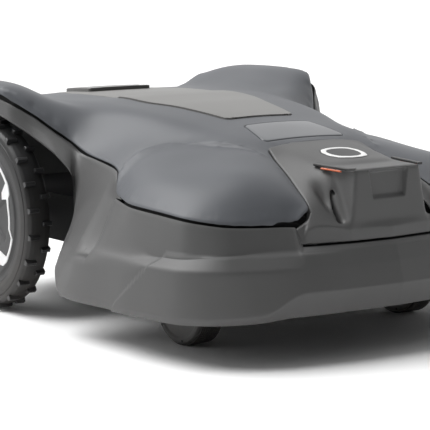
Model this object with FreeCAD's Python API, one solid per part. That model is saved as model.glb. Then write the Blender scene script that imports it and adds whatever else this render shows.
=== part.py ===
import FreeCAD, Part
import math
import os

Vector = FreeCAD.Vector

# Robotic lawn mower. Millimetres. +X is the mower's left, the nose points to -Y, +Z is up.
# The origin is on the ground, under the middle of the machine.

# ---- overall shell ----
SHELL_WALL = 3.5          # wall of the moulded body shells
DECK_WALL = 4.0           # top cover, lid and nose, measured straight down
SEAM = 2.0                # open joint between neighbouring body panels
GRID = 12.0               # spacing of the poles that shape the deck surface

# ---- drive wheels ----
AXLE_Y = 183.0
TYRE_R = 127.0
TREAD_DEPTH = 9.0
TYRE_INNER_X = 229.0
TYRE_WIDTH = 38.0
RIM_R = 96.0
LUGS = 22
LUG_SHARE = 0.5           # part of one pitch that a lug's top fills
AXLE_Z = TYRE_R * math.cos(LUG_SHARE * math.pi / LUGS)  # the machine stands on a lug's flat top
SHAFT_R = 8.0
COVER_R = 91.0
COVER_DEPTH = 8.0

# ---- castors ----
CASTOR_R = 51.0
CASTOR_WIDTH = 38.0
CASTOR_X = 172.0
CASTOR_TRAIL = 25.0       # wheel axle behind the swivel stem
SWIVEL_Y = -189.0
STEM_R = 9.0
BUSH_R = 13.0              # outside of the bush the stem turns in
PIN_R = 4.0
TREAD_BAND = 16.0
BAND_DEEP = 9.0

# ---- chassis ----
TUB_HALF_X = 185.0
TUB_REAR_Y = 312.0
TUB_STEP_Y = -92.0        # the tub narrows ahead of this line, to clear the castors
TUB_FRONT_Y = -232.0
TUB_NECK_X = 84.0
TUB_FLOOR_Z = 92.0
TUB_TOP_Z = 150.0
TUB_WALL = 4.0
BRIDGE_HALF_X = 204.0     # castor bridge
BRIDGE_Z = 120.0
BRIDGE_REAR_Y = -150.0
PLATE_T = 4.0             # upper chassis plate

BOARD_Z = 118.0
BOARD_FRONT_Y = -222.0
BOARD_REAR_Y = -128.0

# ---- cutting unit ----
CUT_Y = 10.0
DISC_R = 105.0
DISC_Z = 30.0
DISC_T = 3.0
BLADE_RING = 90.0
BLADE_LONG = 36.0
BLADE_WIDE = 19.0
BLADE_T = 1.0
SKID_R = 84.0
SKID_Z = 15.0
CUT_SHAFT_R = 4.0
HOUSING_R = 50.0
HOUSING_Z = 40.0
HOUSING_TALL = 74.0
SPINDLE_Y = -70.0
SPINDLE_R = 5.0

# ---- fits ----
RUN = 0.05                # radial running clearance of shafts and pins
GAP = 0.5                 # clearance between moving faces

# ---- floating shell ----
RING_HALF_X = 122.0
RING_HALF_Y = 112.0
RING_BAR = 24.0
RING_T = 4.0
POST_R = 8.0
SOCKET_TALL = 24.0
SOCKET_R = 12.0

# ---- hatch, console and controls ----
LID_PROUD = 1.5
PLATE_PROUD = 1.0          # name plate above the deck
PLATE_T_NAME = 1.8
HINGE_Y = -70.0
HINGE_DROP = 4.5          # hinge pin under the lid's top face
HINGE_R = 1.5
EAR_X = 42.0               # ears of the tray that hold the hinge pins
EAR_HALF = 3.0
EAR_R = 2.3
TRAY_DEPTH = 26.0
TRAY_MARGIN = 3.5         # the tray is this much wider than the lid, under the cover
TRAY_WALL = 2.5
STOP_TRAVEL = 4.0
STOP_REAR_Y = 318.0
STOP_FRONT_Y = 250.0
STOP_HALF_X = 52.0
JOG_R = 17.0
JOG_TALL = 9.0
JOG_Y = 40.0
KEY_TRAVEL = 1.5


# ---- small makers ----
def box(x0, x1, y0, y1, z0, z1):
    return Part.makeBox(x1 - x0, y1 - y0, z1 - z0, Vector(x0, y0, z0))


def rod(radius, start, end):
    along = Vector(*end) - Vector(*start)
    return Part.makeCylinder(radius, along.Length, Vector(*start), along)


def pipe(outer, inner, start, end):
    return rod(outer, start, end).cut(rod(inner, start, end))


def polygon(points):
    corners = [Vector(*p) for p in points]
    return Part.makePolygon(corners + corners[:1])


def prism(plan, z0, z1):
    face = Part.Face(polygon([(x, y, z0) for x, y in plan]))
    return face.extrude(Vector(0, 0, z1 - z0))


def fuse(shapes):
    joined = shapes[0].multiFuse(shapes[1:]) if len(shapes) > 1 else shapes[0]
    return joined.removeSplitter()


def mirrored(shape):
    return shape.mirror(Vector(0, 0, 0), Vector(1, 0, 0))


def both_sides(half_plan):
    """Closes a plan outline given from front to rear at +X with its mirror image."""
    return half_plan + [(-x, y) for x, y in reversed(half_plan)]


def rounded(shape, radius, pick):
    """Fillets the edges that pick accepts."""
    edges = [e for e in shape.Edges if pick(e)]
    return shape.makeFillet(radius, edges) if edges else shape


def upright(edge):
    ends = [v.Point for v in edge.Vertexes]
    return len(ends) == 2 and abs(ends[0].z - ends[1].z) > 1 and (
        math.hypot(ends[0].x - ends[1].x, ends[0].y - ends[1].y) < 0.01
    )


# ---- smooth lines through a few chosen points ----
def slopes(t, v):
    """Slopes of a smooth line through (t, v) that never overshoots its points."""
    steps = [(v[i + 1] - v[i]) / (t[i + 1] - t[i]) for i in range(len(t) - 1)]
    inner = []
    for a, b in zip(steps, steps[1:]):
        inner.append(0.0 if a * b <= 0 else 2 * a * b / (a + b))
    return [steps[0]] + inner + [steps[-1]]


def smooth(t, v, at):
    at = min(max(at, t[0]), t[-1])
    i = max(k for k in range(len(t) - 1) if t[k] <= at)
    m = slopes(t, v)
    h = t[i + 1] - t[i]
    s = (at - t[i]) / h
    return (
        (1 + 2 * s) * (1 - s) ** 2 * v[i]
        + s * (1 - s) ** 2 * h * m[i]
        + s * s * (3 - 2 * s) * v[i + 1]
        + s * s * (s - 1) * h * m[i + 1]
    )


# ---- the deck ----
# Each station is a y and the height over the centre line, then the (x, z) where the
# character lines cross it: shoulder, valley, crest, outer crease, seam, under the seam.
DECK = [
    (-345, 150, (70, 150), (100, 148), (135, 140), (160, 130), (180, 125), (230, 110)),
    (-312, 180, (103, 181), (113, 173), (118, 167), (121, 163), (124, 160), (200, 140)),
    (-300, 190, (100, 187), (118, 190), (142, 184), (162, 171), (174, 163), (215, 145)),
    (-290, 197, (98, 191), (118, 198), (150, 194), (188, 179), (208, 165), (235, 146)),
    (-273, 205, (95, 200), (115, 208), (146, 208), (200, 189), (230, 168), (252, 146)),
    (-250, 215, (89, 210), (110, 217), (141, 219), (209, 197), (244, 171), (264, 146)),
    (-211, 230, (79, 225), (100, 229), (150, 223), (221, 201), (250, 174), (270, 146)),
    (-185, 240, (88, 235), (98, 235), (155, 224), (226, 203), (252, 175), (272, 146)),
    (-155, 248, (98, 245), (108, 239), (160, 226), (228, 204), (252, 176), (272, 148)),
    (-120, 256, (103, 250), (122, 239), (165, 230), (219, 207), (243, 179), (262, 152)),
    (-88, 261, (108, 255), (138, 237), (172, 229), (207, 212), (230, 182), (250, 156)),
    (-55, 266, (116, 261), (150, 241), (176, 227), (195, 214), (206, 207), (228, 175)),
    (-20, 270, (127, 266), (150, 247), (174, 229), (192, 217), (201, 212), (224, 182)),
    (20, 274, (134, 270), (152, 254), (172, 238), (190, 223), (200, 217), (224, 186)),
    (58, 276, (135, 273), (163, 261), (180, 248), (192, 238), (202, 230), (226, 196)),
    (80, 278, (136, 274), (158, 268), (182, 270), (203, 258), (217, 246), (238, 212)),
    (100, 279, (137, 275), (160, 271), (194, 277), (220, 270), (232, 262), (246, 225)),
    (126, 279, (137, 275), (165, 274), (212, 286), (240, 297), (249, 275), (256, 240)),
    (145, 279, (140, 275), (168, 276), (214, 294), (251, 302), (259, 285), (266, 252)),
    (200, 277, (150, 275), (172, 280), (206, 299), (249, 304), (261, 289), (268, 256)),
    (260, 274, (150, 273), (172, 279), (206, 299), (247, 303), (260, 289), (268, 256)),
    (310, 271, (142, 269), (166, 275), (200, 292), (238, 296), (253, 283), (262, 252)),
    (345, 262, (130, 260), (155, 265), (188, 276), (218, 276), (234, 264), (248, 236)),
]
DECK_Y = [s[0] for s in DECK]
SEAM_LINE = 4             # index of the seam among a station's character lines


def deck_line(index, y):
    """Where a character line of the deck crosses the section at y."""
    across = smooth(DECK_Y, [s[2 + index][0] for s in DECK], y)
    height = smooth(DECK_Y, [s[2 + index][1] for s in DECK], y)
    return across, height


def deck_section(y):
    crossings = [deck_line(k, y) for k in range(6)]
    middle = smooth(DECK_Y, [s[1] for s in DECK], y)
    xs = [-x for x, z in reversed(crossings)] + [0.0] + [x for x, z in crossings]
    zs = [z for x, z in reversed(crossings)] + [middle] + [z for x, z in crossings]
    return xs, zs


# The nose, in the same form: shoulder of the snout, its foot, the seam, under the seam.
NOSE = [
    (-345, 146, (34, 146), (58, 146), (100, 146), (140, 112)),
    (-331, 160, (38, 159), (61, 157), (104, 154), (140, 118)),
    (-311, 200, (44, 198), (63, 184), (108, 176), (140, 140)),
    (-290, 225, (48, 223), (64, 208), (99, 190), (135, 165)),
    (-262, 229, (52, 226), (66, 219), (92, 204), (125, 185)),
    (-243, 232, (54, 229), (68, 223), (87, 212), (115, 200)),
    (-211, 237, (50, 235), (66, 231), (79, 225), (105, 215)),
    (-189, 240, (40, 239), (58, 238), (72, 237), (100, 229)),
    (-170, 244, (40, 243), (58, 242), (72, 241), (100, 234)),
]
NOSE_Y = [s[0] for s in NOSE]


def nose_section(y):
    across = [smooth(NOSE_Y, [s[2 + k][0] for s in NOSE], y) for k in range(4)]
    heights = [smooth(NOSE_Y, [s[2 + k][1] for s in NOSE], y) for k in range(4)]
    middle = smooth(NOSE_Y, [s[1] for s in NOSE], y)
    xs = [-x for x in reversed(across)] + [0.0] + across
    return xs, list(reversed(heights)) + [middle] + heights


def draped_face(section, half_x, y0, y1):
    """One smooth face over a rectangle of the plan, shaped by a net of poles on the sections."""
    nx = int(2 * half_x / GRID)
    ny = int((y1 - y0) / GRID)
    rows = []
    for j in range(ny + 1):
        y = y0 + (y1 - y0) * j / ny
        xs, zs = section(y)
        row = [-half_x + 2 * half_x * i / nx for i in range(nx + 1)]
        rows.append([Vector(x, y, smooth(xs, zs, x)) for x in row])
    surface = Part.BSplineSurface()
    u_knots = list(range(len(rows) - 2))
    v_knots = list(range(len(rows[0]) - 2))
    u_mults = [4] + [1] * (len(u_knots) - 2) + [4]
    v_mults = [4] + [1] * (len(v_knots) - 2) + [4]
    surface.buildFromPolesMultsKnots(rows, u_mults, v_mults, u_knots, v_knots, False, False, 3, 3)
    return surface.toShape()


def deck_slab(lift=0.0, wall=DECK_WALL):
    face = draped_face(deck_section, 264.0, -330.0, 345.0)
    slab = face.extrude(Vector(0, 0, -wall))
    slab.translate(Vector(0, 0, lift))
    return slab


def deck_height(x, y):
    xs, zs = deck_section(y)
    return smooth(xs, zs, x)


# ---- plan outlines, right half from front to rear ----
NOSE_PLAN = [(103, -360), (103, -311), (95, -273), (87, -243), (79, -211), (72, -189), (40, -185)]
LID_PLAN = [(46, -78), (54, -74), (70, 3), (84, 47), (87, 70), (87, 122)]
CONSOLE_PLAN = [(87, 125), (87, 200), (84, 244), (70, 328)]
PLATE_PLAN = [(60, -171), (64, -166), (52, -114), (47, -111)]


def widened(half_plan, by):
    """The same outline grown sideways and at both ends, for the opening round a panel."""
    first = half_plan[0][1]
    last = half_plan[-1][1]
    grown = []
    for x, y in half_plan:
        end = -by if y == first else by if y == last else 0.0
        grown.append((x + by, y + end))
    return grown


def cover_plan():
    ys = [-312, -306, -300, -290, -273, -250, -211, -185, -155, -120, -88, -72, -55, -20, 20, 58]
    ys += [80, 100, 126, 145, 200, 260, 310, 332]
    return [(deck_line(SEAM_LINE, y)[0] - SEAM / 2, y) for y in ys]


def top_cover():
    cover = deck_slab().common(prism(both_sides(cover_plan()), 100, 400))
    openings = [widened(NOSE_PLAN, SEAM), widened(LID_PLAN, SEAM), widened(CONSOLE_PLAN, SEAM)]
    for plan in openings:
        cover = cover.cut(prism(both_sides(plan), 100, 400))
    pocket = deck_slab(PLATE_PROUD + 5, 5 + PLATE_T_NAME + 0.1)
    return cover.cut(pocket.common(prism(both_sides(widened(PLATE_PLAN, 0.6)), 100, 400)))


def hatch_lid():
    lid = deck_slab(LID_PROUD).common(prism(both_sides(LID_PLAN), 100, 400))
    y, z = hinge_place()
    for s in (-1, 1):
        ear = s * EAR_X
        lug = s * (EAR_X - 2 * EAR_HALF - GAP)
        reach = EAR_HALF + GAP
        lid = lid.cut(rod(EAR_R + GAP, (ear - reach, y, z), (ear + reach, y, z)))
        lid = lid.cut(box(ear - reach, ear + reach, y - 12, y + EAR_R + GAP, z - 20, z + EAR_R + 0.1))
        eye = rod(EAR_R + 0.9, (lug - EAR_HALF, y, z), (lug + EAR_HALF, y, z))
        lid = lid.fuse(eye)
    return lid.cut(rod(HINGE_R + RUN, (-60, y, z), (60, y, z))).removeSplitter()


def hinge_place():
    return HINGE_Y, deck_height(0, HINGE_Y) + LID_PROUD - HINGE_DROP


def hinge_pins():
    y, z = hinge_place()
    inner = EAR_X - 3 * EAR_HALF - GAP
    outer = EAR_X + EAR_HALF
    return Part.makeCompound([rod(HINGE_R, (s * inner, y, z), (s * outer, y, z)) for s in (-1, 1)])


def tray_floor_z():
    return deck_height(0, HINGE_Y) - TRAY_DEPTH


def control_tray():
    """The well under the lid that holds the display and the jog wheel."""
    floor = tray_floor_z()
    well = prism(both_sides(widened(LID_PLAN, TRAY_MARGIN + TRAY_WALL)), floor, 300)
    inside = prism(both_sides(widened(LID_PLAN, TRAY_MARGIN)), floor + TRAY_WALL, 300)
    well = well.common(under_deck(-DECK_WALL - 0.3)).cut(inside)
    y, z = hinge_place()
    for s in (-1, 1):
        x = s * EAR_X
        web = box(x - EAR_HALF, x + EAR_HALF, y - EAR_R, y + EAR_R, floor + 1, z)
        eye = rod(EAR_R, (x - EAR_HALF, y, z), (x + EAR_HALF, y, z))
        well = well.fuse(web).fuse(eye)
    well = well.cut(rod(HINGE_R, (-46, y, z), (46, y, z)))
    well = well.cut(rod(JOG_R - 6 + RUN, (0, JOG_Y, floor - 1), (0, JOG_Y, floor + TRAY_WALL + 1)))
    return well.removeSplitter()


def under_deck(lift):
    """Everything under the deck surface, moved by lift."""
    face = draped_face(deck_section, 264.0, -330.0, 345.0)
    body = face.extrude(Vector(0, 0, -200))
    body.translate(Vector(0, 0, lift))
    return body


def display_panel():
    top = tray_floor_z() + TRAY_WALL
    panel = box(-40, 40, -38, 8, top, top + 5)
    return rounded(panel, 3, upright)


def jog_wheel():
    floor = tray_floor_z()
    top = floor + TRAY_WALL + GAP
    knob = rod(JOG_R, (0, JOG_Y, top), (0, JOG_Y, top + JOG_TALL))
    hub = rod(JOG_R - 6, (0, JOG_Y, floor), (0, JOG_Y, top))
    bore = rod(JOG_R - 9 + RUN, (0, JOG_Y, top + 2), (0, JOG_Y, top + JOG_TALL + 1))
    grips = []
    for i in range(18):
        a = 2 * math.pi * i / 18
        x = JOG_R * math.cos(a)
        y = JOG_Y + JOG_R * math.sin(a)
        grips.append(rod(1.2, (x, y, top - 1), (x, y, top + JOG_TALL + 1)))
    return fuse([knob, hub]).cut(bore).cut(Part.makeCompound(grips))


def jog_key():
    base = tray_floor_z() + TRAY_WALL + GAP + 2 + KEY_TRAVEL + GAP
    top = tray_floor_z() + TRAY_WALL + GAP + JOG_TALL + KEY_TRAVEL
    key = rod(JOG_R - 9, (0, JOG_Y, base), (0, JOG_Y, top))
    return key.makeFillet(1, [e for e in key.Edges if abs(e.BoundBox.ZMin - top) < 0.01])


def name_plate():
    return deck_slab(PLATE_PROUD, PLATE_T_NAME).common(prism(both_sides(PLATE_PLAN), 100, 400))


def rear_console():
    shell = deck_slab(LID_PROUD).common(prism(both_sides(CONSOLE_PLAN), 100, 400))
    well = [(STOP_HALF_X + GAP, STOP_FRONT_Y - GAP), (STOP_HALF_X + GAP, STOP_REAR_Y + GAP)]
    shell = shell.cut(prism(both_sides(well), 100, 400))
    cup = [(STOP_HALF_X + 5, STOP_FRONT_Y - 5), (STOP_HALF_X + 5, STOP_REAR_Y + 5)]
    z0 = deck_height(0, STOP_REAR_Y) - 24
    cup_solid = prism(both_sides(cup), z0, 300).common(under_deck(LID_PROUD - 1))
    cup_solid = cup_solid.cut(prism(both_sides(well), z0 + 3, 300))
    return fuse([shell, cup_solid])


def stop_button():
    plan = [(STOP_HALF_X, STOP_FRONT_Y), (STOP_HALF_X, STOP_REAR_Y)]
    z0 = deck_height(0, STOP_REAR_Y) - 24 + 3 + STOP_TRAVEL + 2
    body = prism(both_sides(plan), z0, 320).common(under_deck(LID_PROUD + 4))
    return rounded(body, 6, upright)


# ---- the nose ----
def under_nose(lift=0.0):
    face = draped_face(nose_section, 138.0, -345.0, -172.0)
    body = face.extrude(Vector(0, 0, -160))
    body.translate(Vector(0, 0, lift))
    return body


SNOUT_FRONT_Y = -335.0
SNOUT_BROW_Y = -330.0      # front of the snout's top, a little behind its foot
SNOUT_TOP_Z = 222.0
SNOUT_FOOT_Z = 150.0


def snout(inset=0.0):
    """The box that stands forward of the nose, narrower at its top."""
    top = [(50 - inset, SNOUT_BROW_Y + inset), (58 - inset, -262)]
    foot = [(61 - inset, SNOUT_FRONT_Y + inset), (63 - inset, -262)]
    top_wire = polygon([(x, y, SNOUT_TOP_Z - inset) for x, y in both_sides(top)])
    foot_wire = polygon([(x, y, SNOUT_FOOT_Z - inset) for x, y in both_sides(foot)])
    return Part.makeLoft([foot_wire, top_wire], True, True)


NOSE_FOOT_Z = 138.0
NOSE_CLEAR = 18.0          # the nose's walls end this far above the chassis


def nose_cover():
    inner = [(x, y) for x, y in NOSE_PLAN if y > -330]
    outline = [(0, -339), (60, -335), (100, -327), (119, -322)] + inner
    block = prism(both_sides(outline), NOSE_FOOT_Z, 300).common(under_nose())
    hollow_plan = [(0, -335), (58, -331), (96, -322), (99, -311), (91, -273), (83, -243), (75, -211)]
    hollow_plan += [(68, -193), (38, -189)]
    hollow = prism(both_sides(hollow_plan), NOSE_FOOT_Z - 5, 300).common(under_nose(-DECK_WALL))
    block = block.fuse(snout()).removeSplitter()
    block = block.cut(hollow).cut(snout(3.5).common(box(-80, 80, -332, -262, 100, 300)))
    recess = Part.makeLoft(
        [
            polygon([(-28, -345, 185), (28, -345, 185), (33, -345, 216), (-33, -345, 216)]),
            polygon([(-26, -327, 187), (26, -327, 187), (31, -326, 214), (-31, -326, 214)]),
        ],
        True,
        True,
    )
    chassis_room = box(-120, 120, -300, -150, NOSE_FOOT_Z - 5, TUB_TOP_Z + PLATE_T + NOSE_CLEAR)
    return block.cut(recess).cut(lamp_pod(1)).cut(lamp_pod(-1)).cut(chassis_room)


def snout_window():
    """The dark sensor window set back in the snout's front recess."""
    plate = [(-26, 188), (26, 188), (30.5, 213), (-30.5, 213)]
    face = Part.Face(polygon([(x, -327.5, z) for x, z in plate]))
    return face.extrude(Vector(0, 1.8, 0))


def mirrored_pair(shape):
    return Part.makeCompound([shape, mirrored(shape)])


def snout_ledges():
    """The dark trim strips over the lamp recesses, one on each side of the snout's top."""
    return mirrored_pair(prism([(49, -330), (57, -328), (62, -266), (57, -262)], 222.4, 226.0).cut(under_nose(0.1)))


def marker_strips():
    """The orange marker lenses under the ledges."""
    lens = prism([(53, -327), (58, -326), (61, -282), (57.6, -280)], 217.6, 222.0)
    return mirrored_pair(lens.cut(snout(-0.3)))


def lamp_pod(side):
    """The tapering lamp housing on the flank of the nose."""
    front = polygon([(62, -328, 152), (76, -328, 152), (72, -328, 162), (62, -328, 172)])
    rear = polygon([(62, -290, 190), (76, -290, 188), (74, -290, 196), (62, -290, 210)])
    pod = Part.makeLoft([front, rear], True, True)
    return pod if side > 0 else mirrored(pod)


def nose_emblem():
    plate = rod(20, (0, -238, 200), (0, -238, 260))
    flat = plate.common(under_nose(1.2)).cut(under_nose(0.1))
    return flat


# ---- the skirt with its bumper ----
# Five lines run round the skirt from the middle of the front to behind the wheel:
# seam, upper chamfer, top of the wall, foot of the wall, lower edge.
SKIRT = [
    ((0, -340, 137), (0, -346, 131), (0, -353, 113), (0, -360, 86), (0, -351, 58)),
    ((62, -336, 137), (63, -342, 131), (64, -349, 113), (65, -356, 86), (64, -347, 58)),
    ((124, -324, 137), (128, -332, 131), (131, -340, 113), (134, -347, 86), (131, -338, 58)),
    ((128, -313, 160), (133, -325, 134), (141, -338, 113), (146, -344, 84), (144, -336, 58)),
    ((174, -301, 162), (178, -311, 133), (184, -328, 113), (188, -335, 64), (185, -330, 56)),
    ((209, -291, 164), (213, -301, 131), (221, -313, 113), (225, -316, 61), (221, -312, 54)),
    ((231, -273, 167), (237, -280, 127), (248, -288, 113), (252, -291, 60), (248, -288, 53)),
    ((245, -250, 170), (251, -255, 124), (262, -261, 113), (266, -262, 60), (262, -261, 52)),
    ((251, -211, 173), (258, -213, 123), (270, -217, 113), (274, -218, 60), (270, -217, 52)),
    ((253, -163, 175), (262, -164, 122), (275, -165, 112), (279, -165, 60), (275, -165, 51)),
    ((244, -120, 178), (261, -115, 122), (275, -112, 111), (280, -110, 60), (276, -110, 51)),
    ((231, -85, 181), (252, -74, 127), (272, -67, 107), (279, -62, 60), (275, -62, 51)),
    ((207, -55, 206), (238, -42, 142), (262, -34, 103), (275, -30, 60), (271, -30, 51)),
    ((202, -22, 211), (226, -6, 145), (250, 0, 108), (267, -10, 74), (263, -10, 68)),
    ((201, 8, 215), (218, 16, 155), (227, 20, 126), (240, 19, 107), (236, 20, 105)),
    ((201, 38, 219), (213, 30, 192), (217, 26, 168), (221, 23, 140), (218, 24, 135)),
    ((204, 60, 230), (212, 43, 214), (216, 36, 203), (220, 28, 188), (218, 29, 184)),
    ((218, 80, 245), (221, 70, 234), (224, 62, 226), (227, 52, 214), (225, 53, 211)),
    ((234, 101, 262), (236, 98, 251), (238, 95, 245), (240, 92, 237), (237, 93, 234)),
    ((255, 130, 279), (257, 129, 268), (258, 128, 263), (258, 127, 258), (255, 128, 255)),
    ((261, 165, 286), (262, 165, 276), (262, 165, 271), (262, 165, 266), (258, 165, 263)),
    ((261, 230, 287), (262, 230, 277), (262, 230, 272), (262, 230, 267), (258, 230, 264)),
    ((256, 300, 283), (258, 300, 274), (258, 300, 270), (258, 300, 265), (254, 300, 262)),
]


FIRST_UNDER_COVER = 3      # from this station on, the skirt's rim tucks under the top cover
RIM_DROP = DECK_WALL + 4.0


def skirt_section(index):
    """A closed section of the skirt's wall: its outer line, then the same line moved inward."""
    here = SKIRT[index]
    before = SKIRT[max(index - 1, 0)][1]
    after = SKIRT[min(index + 1, len(SKIRT) - 1)][1]
    if index == 0:
        inward = Vector(0, 1, 0)
    elif index == len(SKIRT) - 1:
        inward = Vector(-1, 0, 0)
    else:
        inward = Vector(before[1] - after[1], after[0] - before[0], 0).normalize()
    outer = [Vector(*p) for p in here]
    if index >= FIRST_UNDER_COVER:
        outer[0].z -= RIM_DROP
    inner = [p + inward * SHELL_WALL for p in reversed(outer)]
    return outer + inner


def body_skirt():
    left = [skirt_section(i) for i in range(len(SKIRT))]
    right = [[Vector(-p.x, p.y, p.z) for p in section] for section in left[1:]]
    sections = list(reversed(right)) + left
    wires = [Part.makePolygon(points + points[:1]) for points in sections]
    return Part.makeLoft(wires, True, True)


# ---- the rear ----
REAR_PROFILE = [(333, 262), (347, 250), (356, 210), (360, 150), (355, 104), (346, 84)]
REAR_HALF_X = 206.0
REAR_BOW = 16.0


def rear_body():
    wires = []
    for i in range(-4, 5):
        x = REAR_HALF_X * i / 4
        bow = REAR_BOW * (x / REAR_HALF_X) ** 2
        rise = 5.0 * (1 - (x / REAR_HALF_X) ** 2)
        outer = [(x, y - bow, z - 6 + rise) for y, z in REAR_PROFILE]
        inner = [(x, y - SHELL_WALL, z) for x, y, z in reversed(outer)]
        wires.append(polygon(outer + inner))
    return Part.makeLoft(wires, True, True)


# ---- the chassis ----
def tub_plan(inset):
    return [
        (TUB_NECK_X - inset, TUB_FRONT_Y + inset),
        (TUB_NECK_X - inset, TUB_STEP_Y + inset),
        (TUB_HALF_X - inset, TUB_STEP_Y + inset),
        (TUB_HALF_X - inset, TUB_REAR_Y - inset),
    ]


def chassis_tub():
    outer = prism(both_sides(tub_plan(0)), TUB_FLOOR_Z, TUB_TOP_Z)
    outer = rounded(outer, 12, upright)
    hollow = prism(both_sides(tub_plan(TUB_WALL)), TUB_FLOOR_Z + TUB_WALL, TUB_TOP_Z + 10)
    tub = outer.cut(hollow)
    for s in (-1, 1):
        inside = (s * (TUB_HALF_X - 20), AXLE_Y, AXLE_Z)
        outside = (s * (TUB_HALF_X + 5), AXLE_Y, AXLE_Z)
        tub = tub.cut(rod(SHAFT_R + 1, inside, outside))
    tub = tub.cut(rod(HOUSING_R + GAP, (0, CUT_Y, 80), (0, CUT_Y, 100)))
    for x in (-54, 54):
        for y in (BOARD_FRONT_Y + 6, BOARD_REAR_Y - 6):
            tub = tub.fuse(rod(3.5, (x, y, TUB_FLOOR_Z + TUB_WALL), (x, y, BOARD_Z)))
    hatch = box(-60, 60, 150, 290, 80, 100)
    return tub.cut(hatch).removeSplitter()


def battery_cover():
    return rounded(box(-58, 58, 152, 288, TUB_FLOOR_Z, TUB_FLOOR_Z + TUB_WALL), 8, upright)


def battery_pack():
    z0 = TUB_FLOOR_Z + TUB_WALL + 1
    return rounded(box(-66, 66, 156, 296, z0, TUB_TOP_Z - 2), 6, upright)


def chassis_plate():
    """Closes the tub and carries the castors on two thick wings ahead of it."""
    plate = prism(both_sides(tub_plan(0)), TUB_TOP_Z, TUB_TOP_Z + PLATE_T)
    plate = rounded(plate, 12, upright)
    wing = box(-BRIDGE_HALF_X, BRIDGE_HALF_X, TUB_FRONT_Y, BRIDGE_REAR_Y, BRIDGE_Z, TUB_TOP_Z + PLATE_T)
    neck = box(-TUB_NECK_X, TUB_NECK_X, TUB_FRONT_Y - 1, BRIDGE_REAR_Y + 1, BRIDGE_Z - 1, TUB_TOP_Z)
    plate = plate.fuse(rounded(wing, 12, upright).cut(neck))
    plate = plate.cut(rod(HOUSING_R + 4, (0, CUT_Y, 140), (0, CUT_Y, 160)))
    for s in (-1, 1):
        plate = plate.cut(rod(BUSH_R, (s * CASTOR_X, SWIVEL_Y, 100), (s * CASTOR_X, SWIVEL_Y, 160)))
        rail = box(s * 110 - 5, s * 110 + 5, -100, 100, TUB_TOP_Z + PLATE_T, TUB_TOP_Z + PLATE_T + 3)
        plate = plate.fuse(rail)
    return plate.removeSplitter()


def main_board():
    top = BOARD_Z + 2
    board = box(-60, 60, BOARD_FRONT_Y, BOARD_REAR_Y, BOARD_Z, top)
    chips = [box(-30, 0, -190, -160, top, top + 3), box(12, 34, -200, -186, top, top + 6)]
    chips += [box(-50, -38, -150, -134, top, top + 12), box(20, 48, -155, -137, top, top + 4)]
    return fuse([board] + chips)


def drive_motor(side):
    can = rod(20, (side * 84, AXLE_Y, AXLE_Z - 8), (side * 130, AXLE_Y, AXLE_Z - 8))
    gearbox = box(130, TUB_HALF_X - TUB_WALL, AXLE_Y - 34, AXLE_Y + 34, TUB_FLOOR_Z + TUB_WALL, TUB_TOP_Z - 1)
    gearbox = rounded(gearbox, 6, upright)
    if side < 0:
        gearbox = mirrored(gearbox)
    bore = rod(SHAFT_R + RUN, (side * 150, AXLE_Y, AXLE_Z), (side * TUB_HALF_X, AXLE_Y, AXLE_Z))
    return can.fuse(gearbox).cut(bore).removeSplitter()


def castor_bushes():
    foot = (CASTOR_X, SWIVEL_Y, BRIDGE_Z)
    top = (CASTOR_X, SWIVEL_Y, TUB_TOP_Z + PLATE_T)
    return mirrored_pair(pipe(BUSH_R, STEM_R + RUN, foot, top))


def height_motor():
    z0 = TUB_FLOOR_Z + TUB_WALL
    return rod(15, (0, SPINDLE_Y - 42, z0), (0, SPINDLE_Y - 42, z0 + 17)).fuse(
        box(-18, 18, SPINDLE_Y - 60, SPINDLE_Y + 12, z0, z0 + 3)
    ).cut(rod(SPINDLE_R + RUN, (0, SPINDLE_Y, z0 - 1), (0, SPINDLE_Y, z0 + 5)))


def height_spindle():
    z0 = TUB_FLOOR_Z + TUB_WALL
    return rod(SPINDLE_R, (0, SPINDLE_Y, z0), (0, SPINDLE_Y, TUB_TOP_Z - 1))


def charging_contacts():
    plates = []
    for s in (-1, 1):
        x = s * 34
        plates.append(box(x - 12, x + 12, TUB_FRONT_Y - 2, TUB_FRONT_Y, 104, 134))
    return Part.makeCompound(plates)


# ---- the cutting unit ----
def motor_housing():
    top = HOUSING_Z + HOUSING_TALL
    cup = rod(HOUSING_R, (0, CUT_Y, HOUSING_Z), (0, CUT_Y, top))
    cup = cup.cut(rod(HOUSING_R - 4, (0, CUT_Y, HOUSING_Z + 4), (0, CUT_Y, top - 4)))
    arm_z = TUB_FLOOR_Z + TUB_WALL + 5
    arm = box(-11, 11, SPINDLE_Y - 11, CUT_Y - HOUSING_R + 2, arm_z, arm_z + 10)
    cup = cup.fuse(arm)
    cup = cup.cut(rod(SPINDLE_R + RUN, (0, SPINDLE_Y, 80), (0, SPINDLE_Y, 130)))
    return cup.cut(rod(CUT_SHAFT_R + RUN, (0, CUT_Y, HOUSING_Z - 1), (0, CUT_Y, HOUSING_Z + 6)))


def cutting_motor():
    can = rod(HOUSING_R - 6, (0, CUT_Y, HOUSING_Z + 6), (0, CUT_Y, HOUSING_Z + 50))
    return can.cut(rod(CUT_SHAFT_R + RUN, (0, CUT_Y, HOUSING_Z), (0, CUT_Y, HOUSING_Z + 60)))


def cutter_shaft():
    return rod(CUT_SHAFT_R, (0, CUT_Y, SKID_Z), (0, CUT_Y, HOUSING_Z + 48))


def ring_place(index):
    angle = 2 * math.pi * index / 3 + math.pi / 2
    return BLADE_RING * math.cos(angle), CUT_Y + BLADE_RING * math.sin(angle), angle


SCREW_R = 2.5
SCREW_HEAD_R = 5.0
BLADE_Z = DISC_Z - 1.5 - BLADE_T


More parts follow.
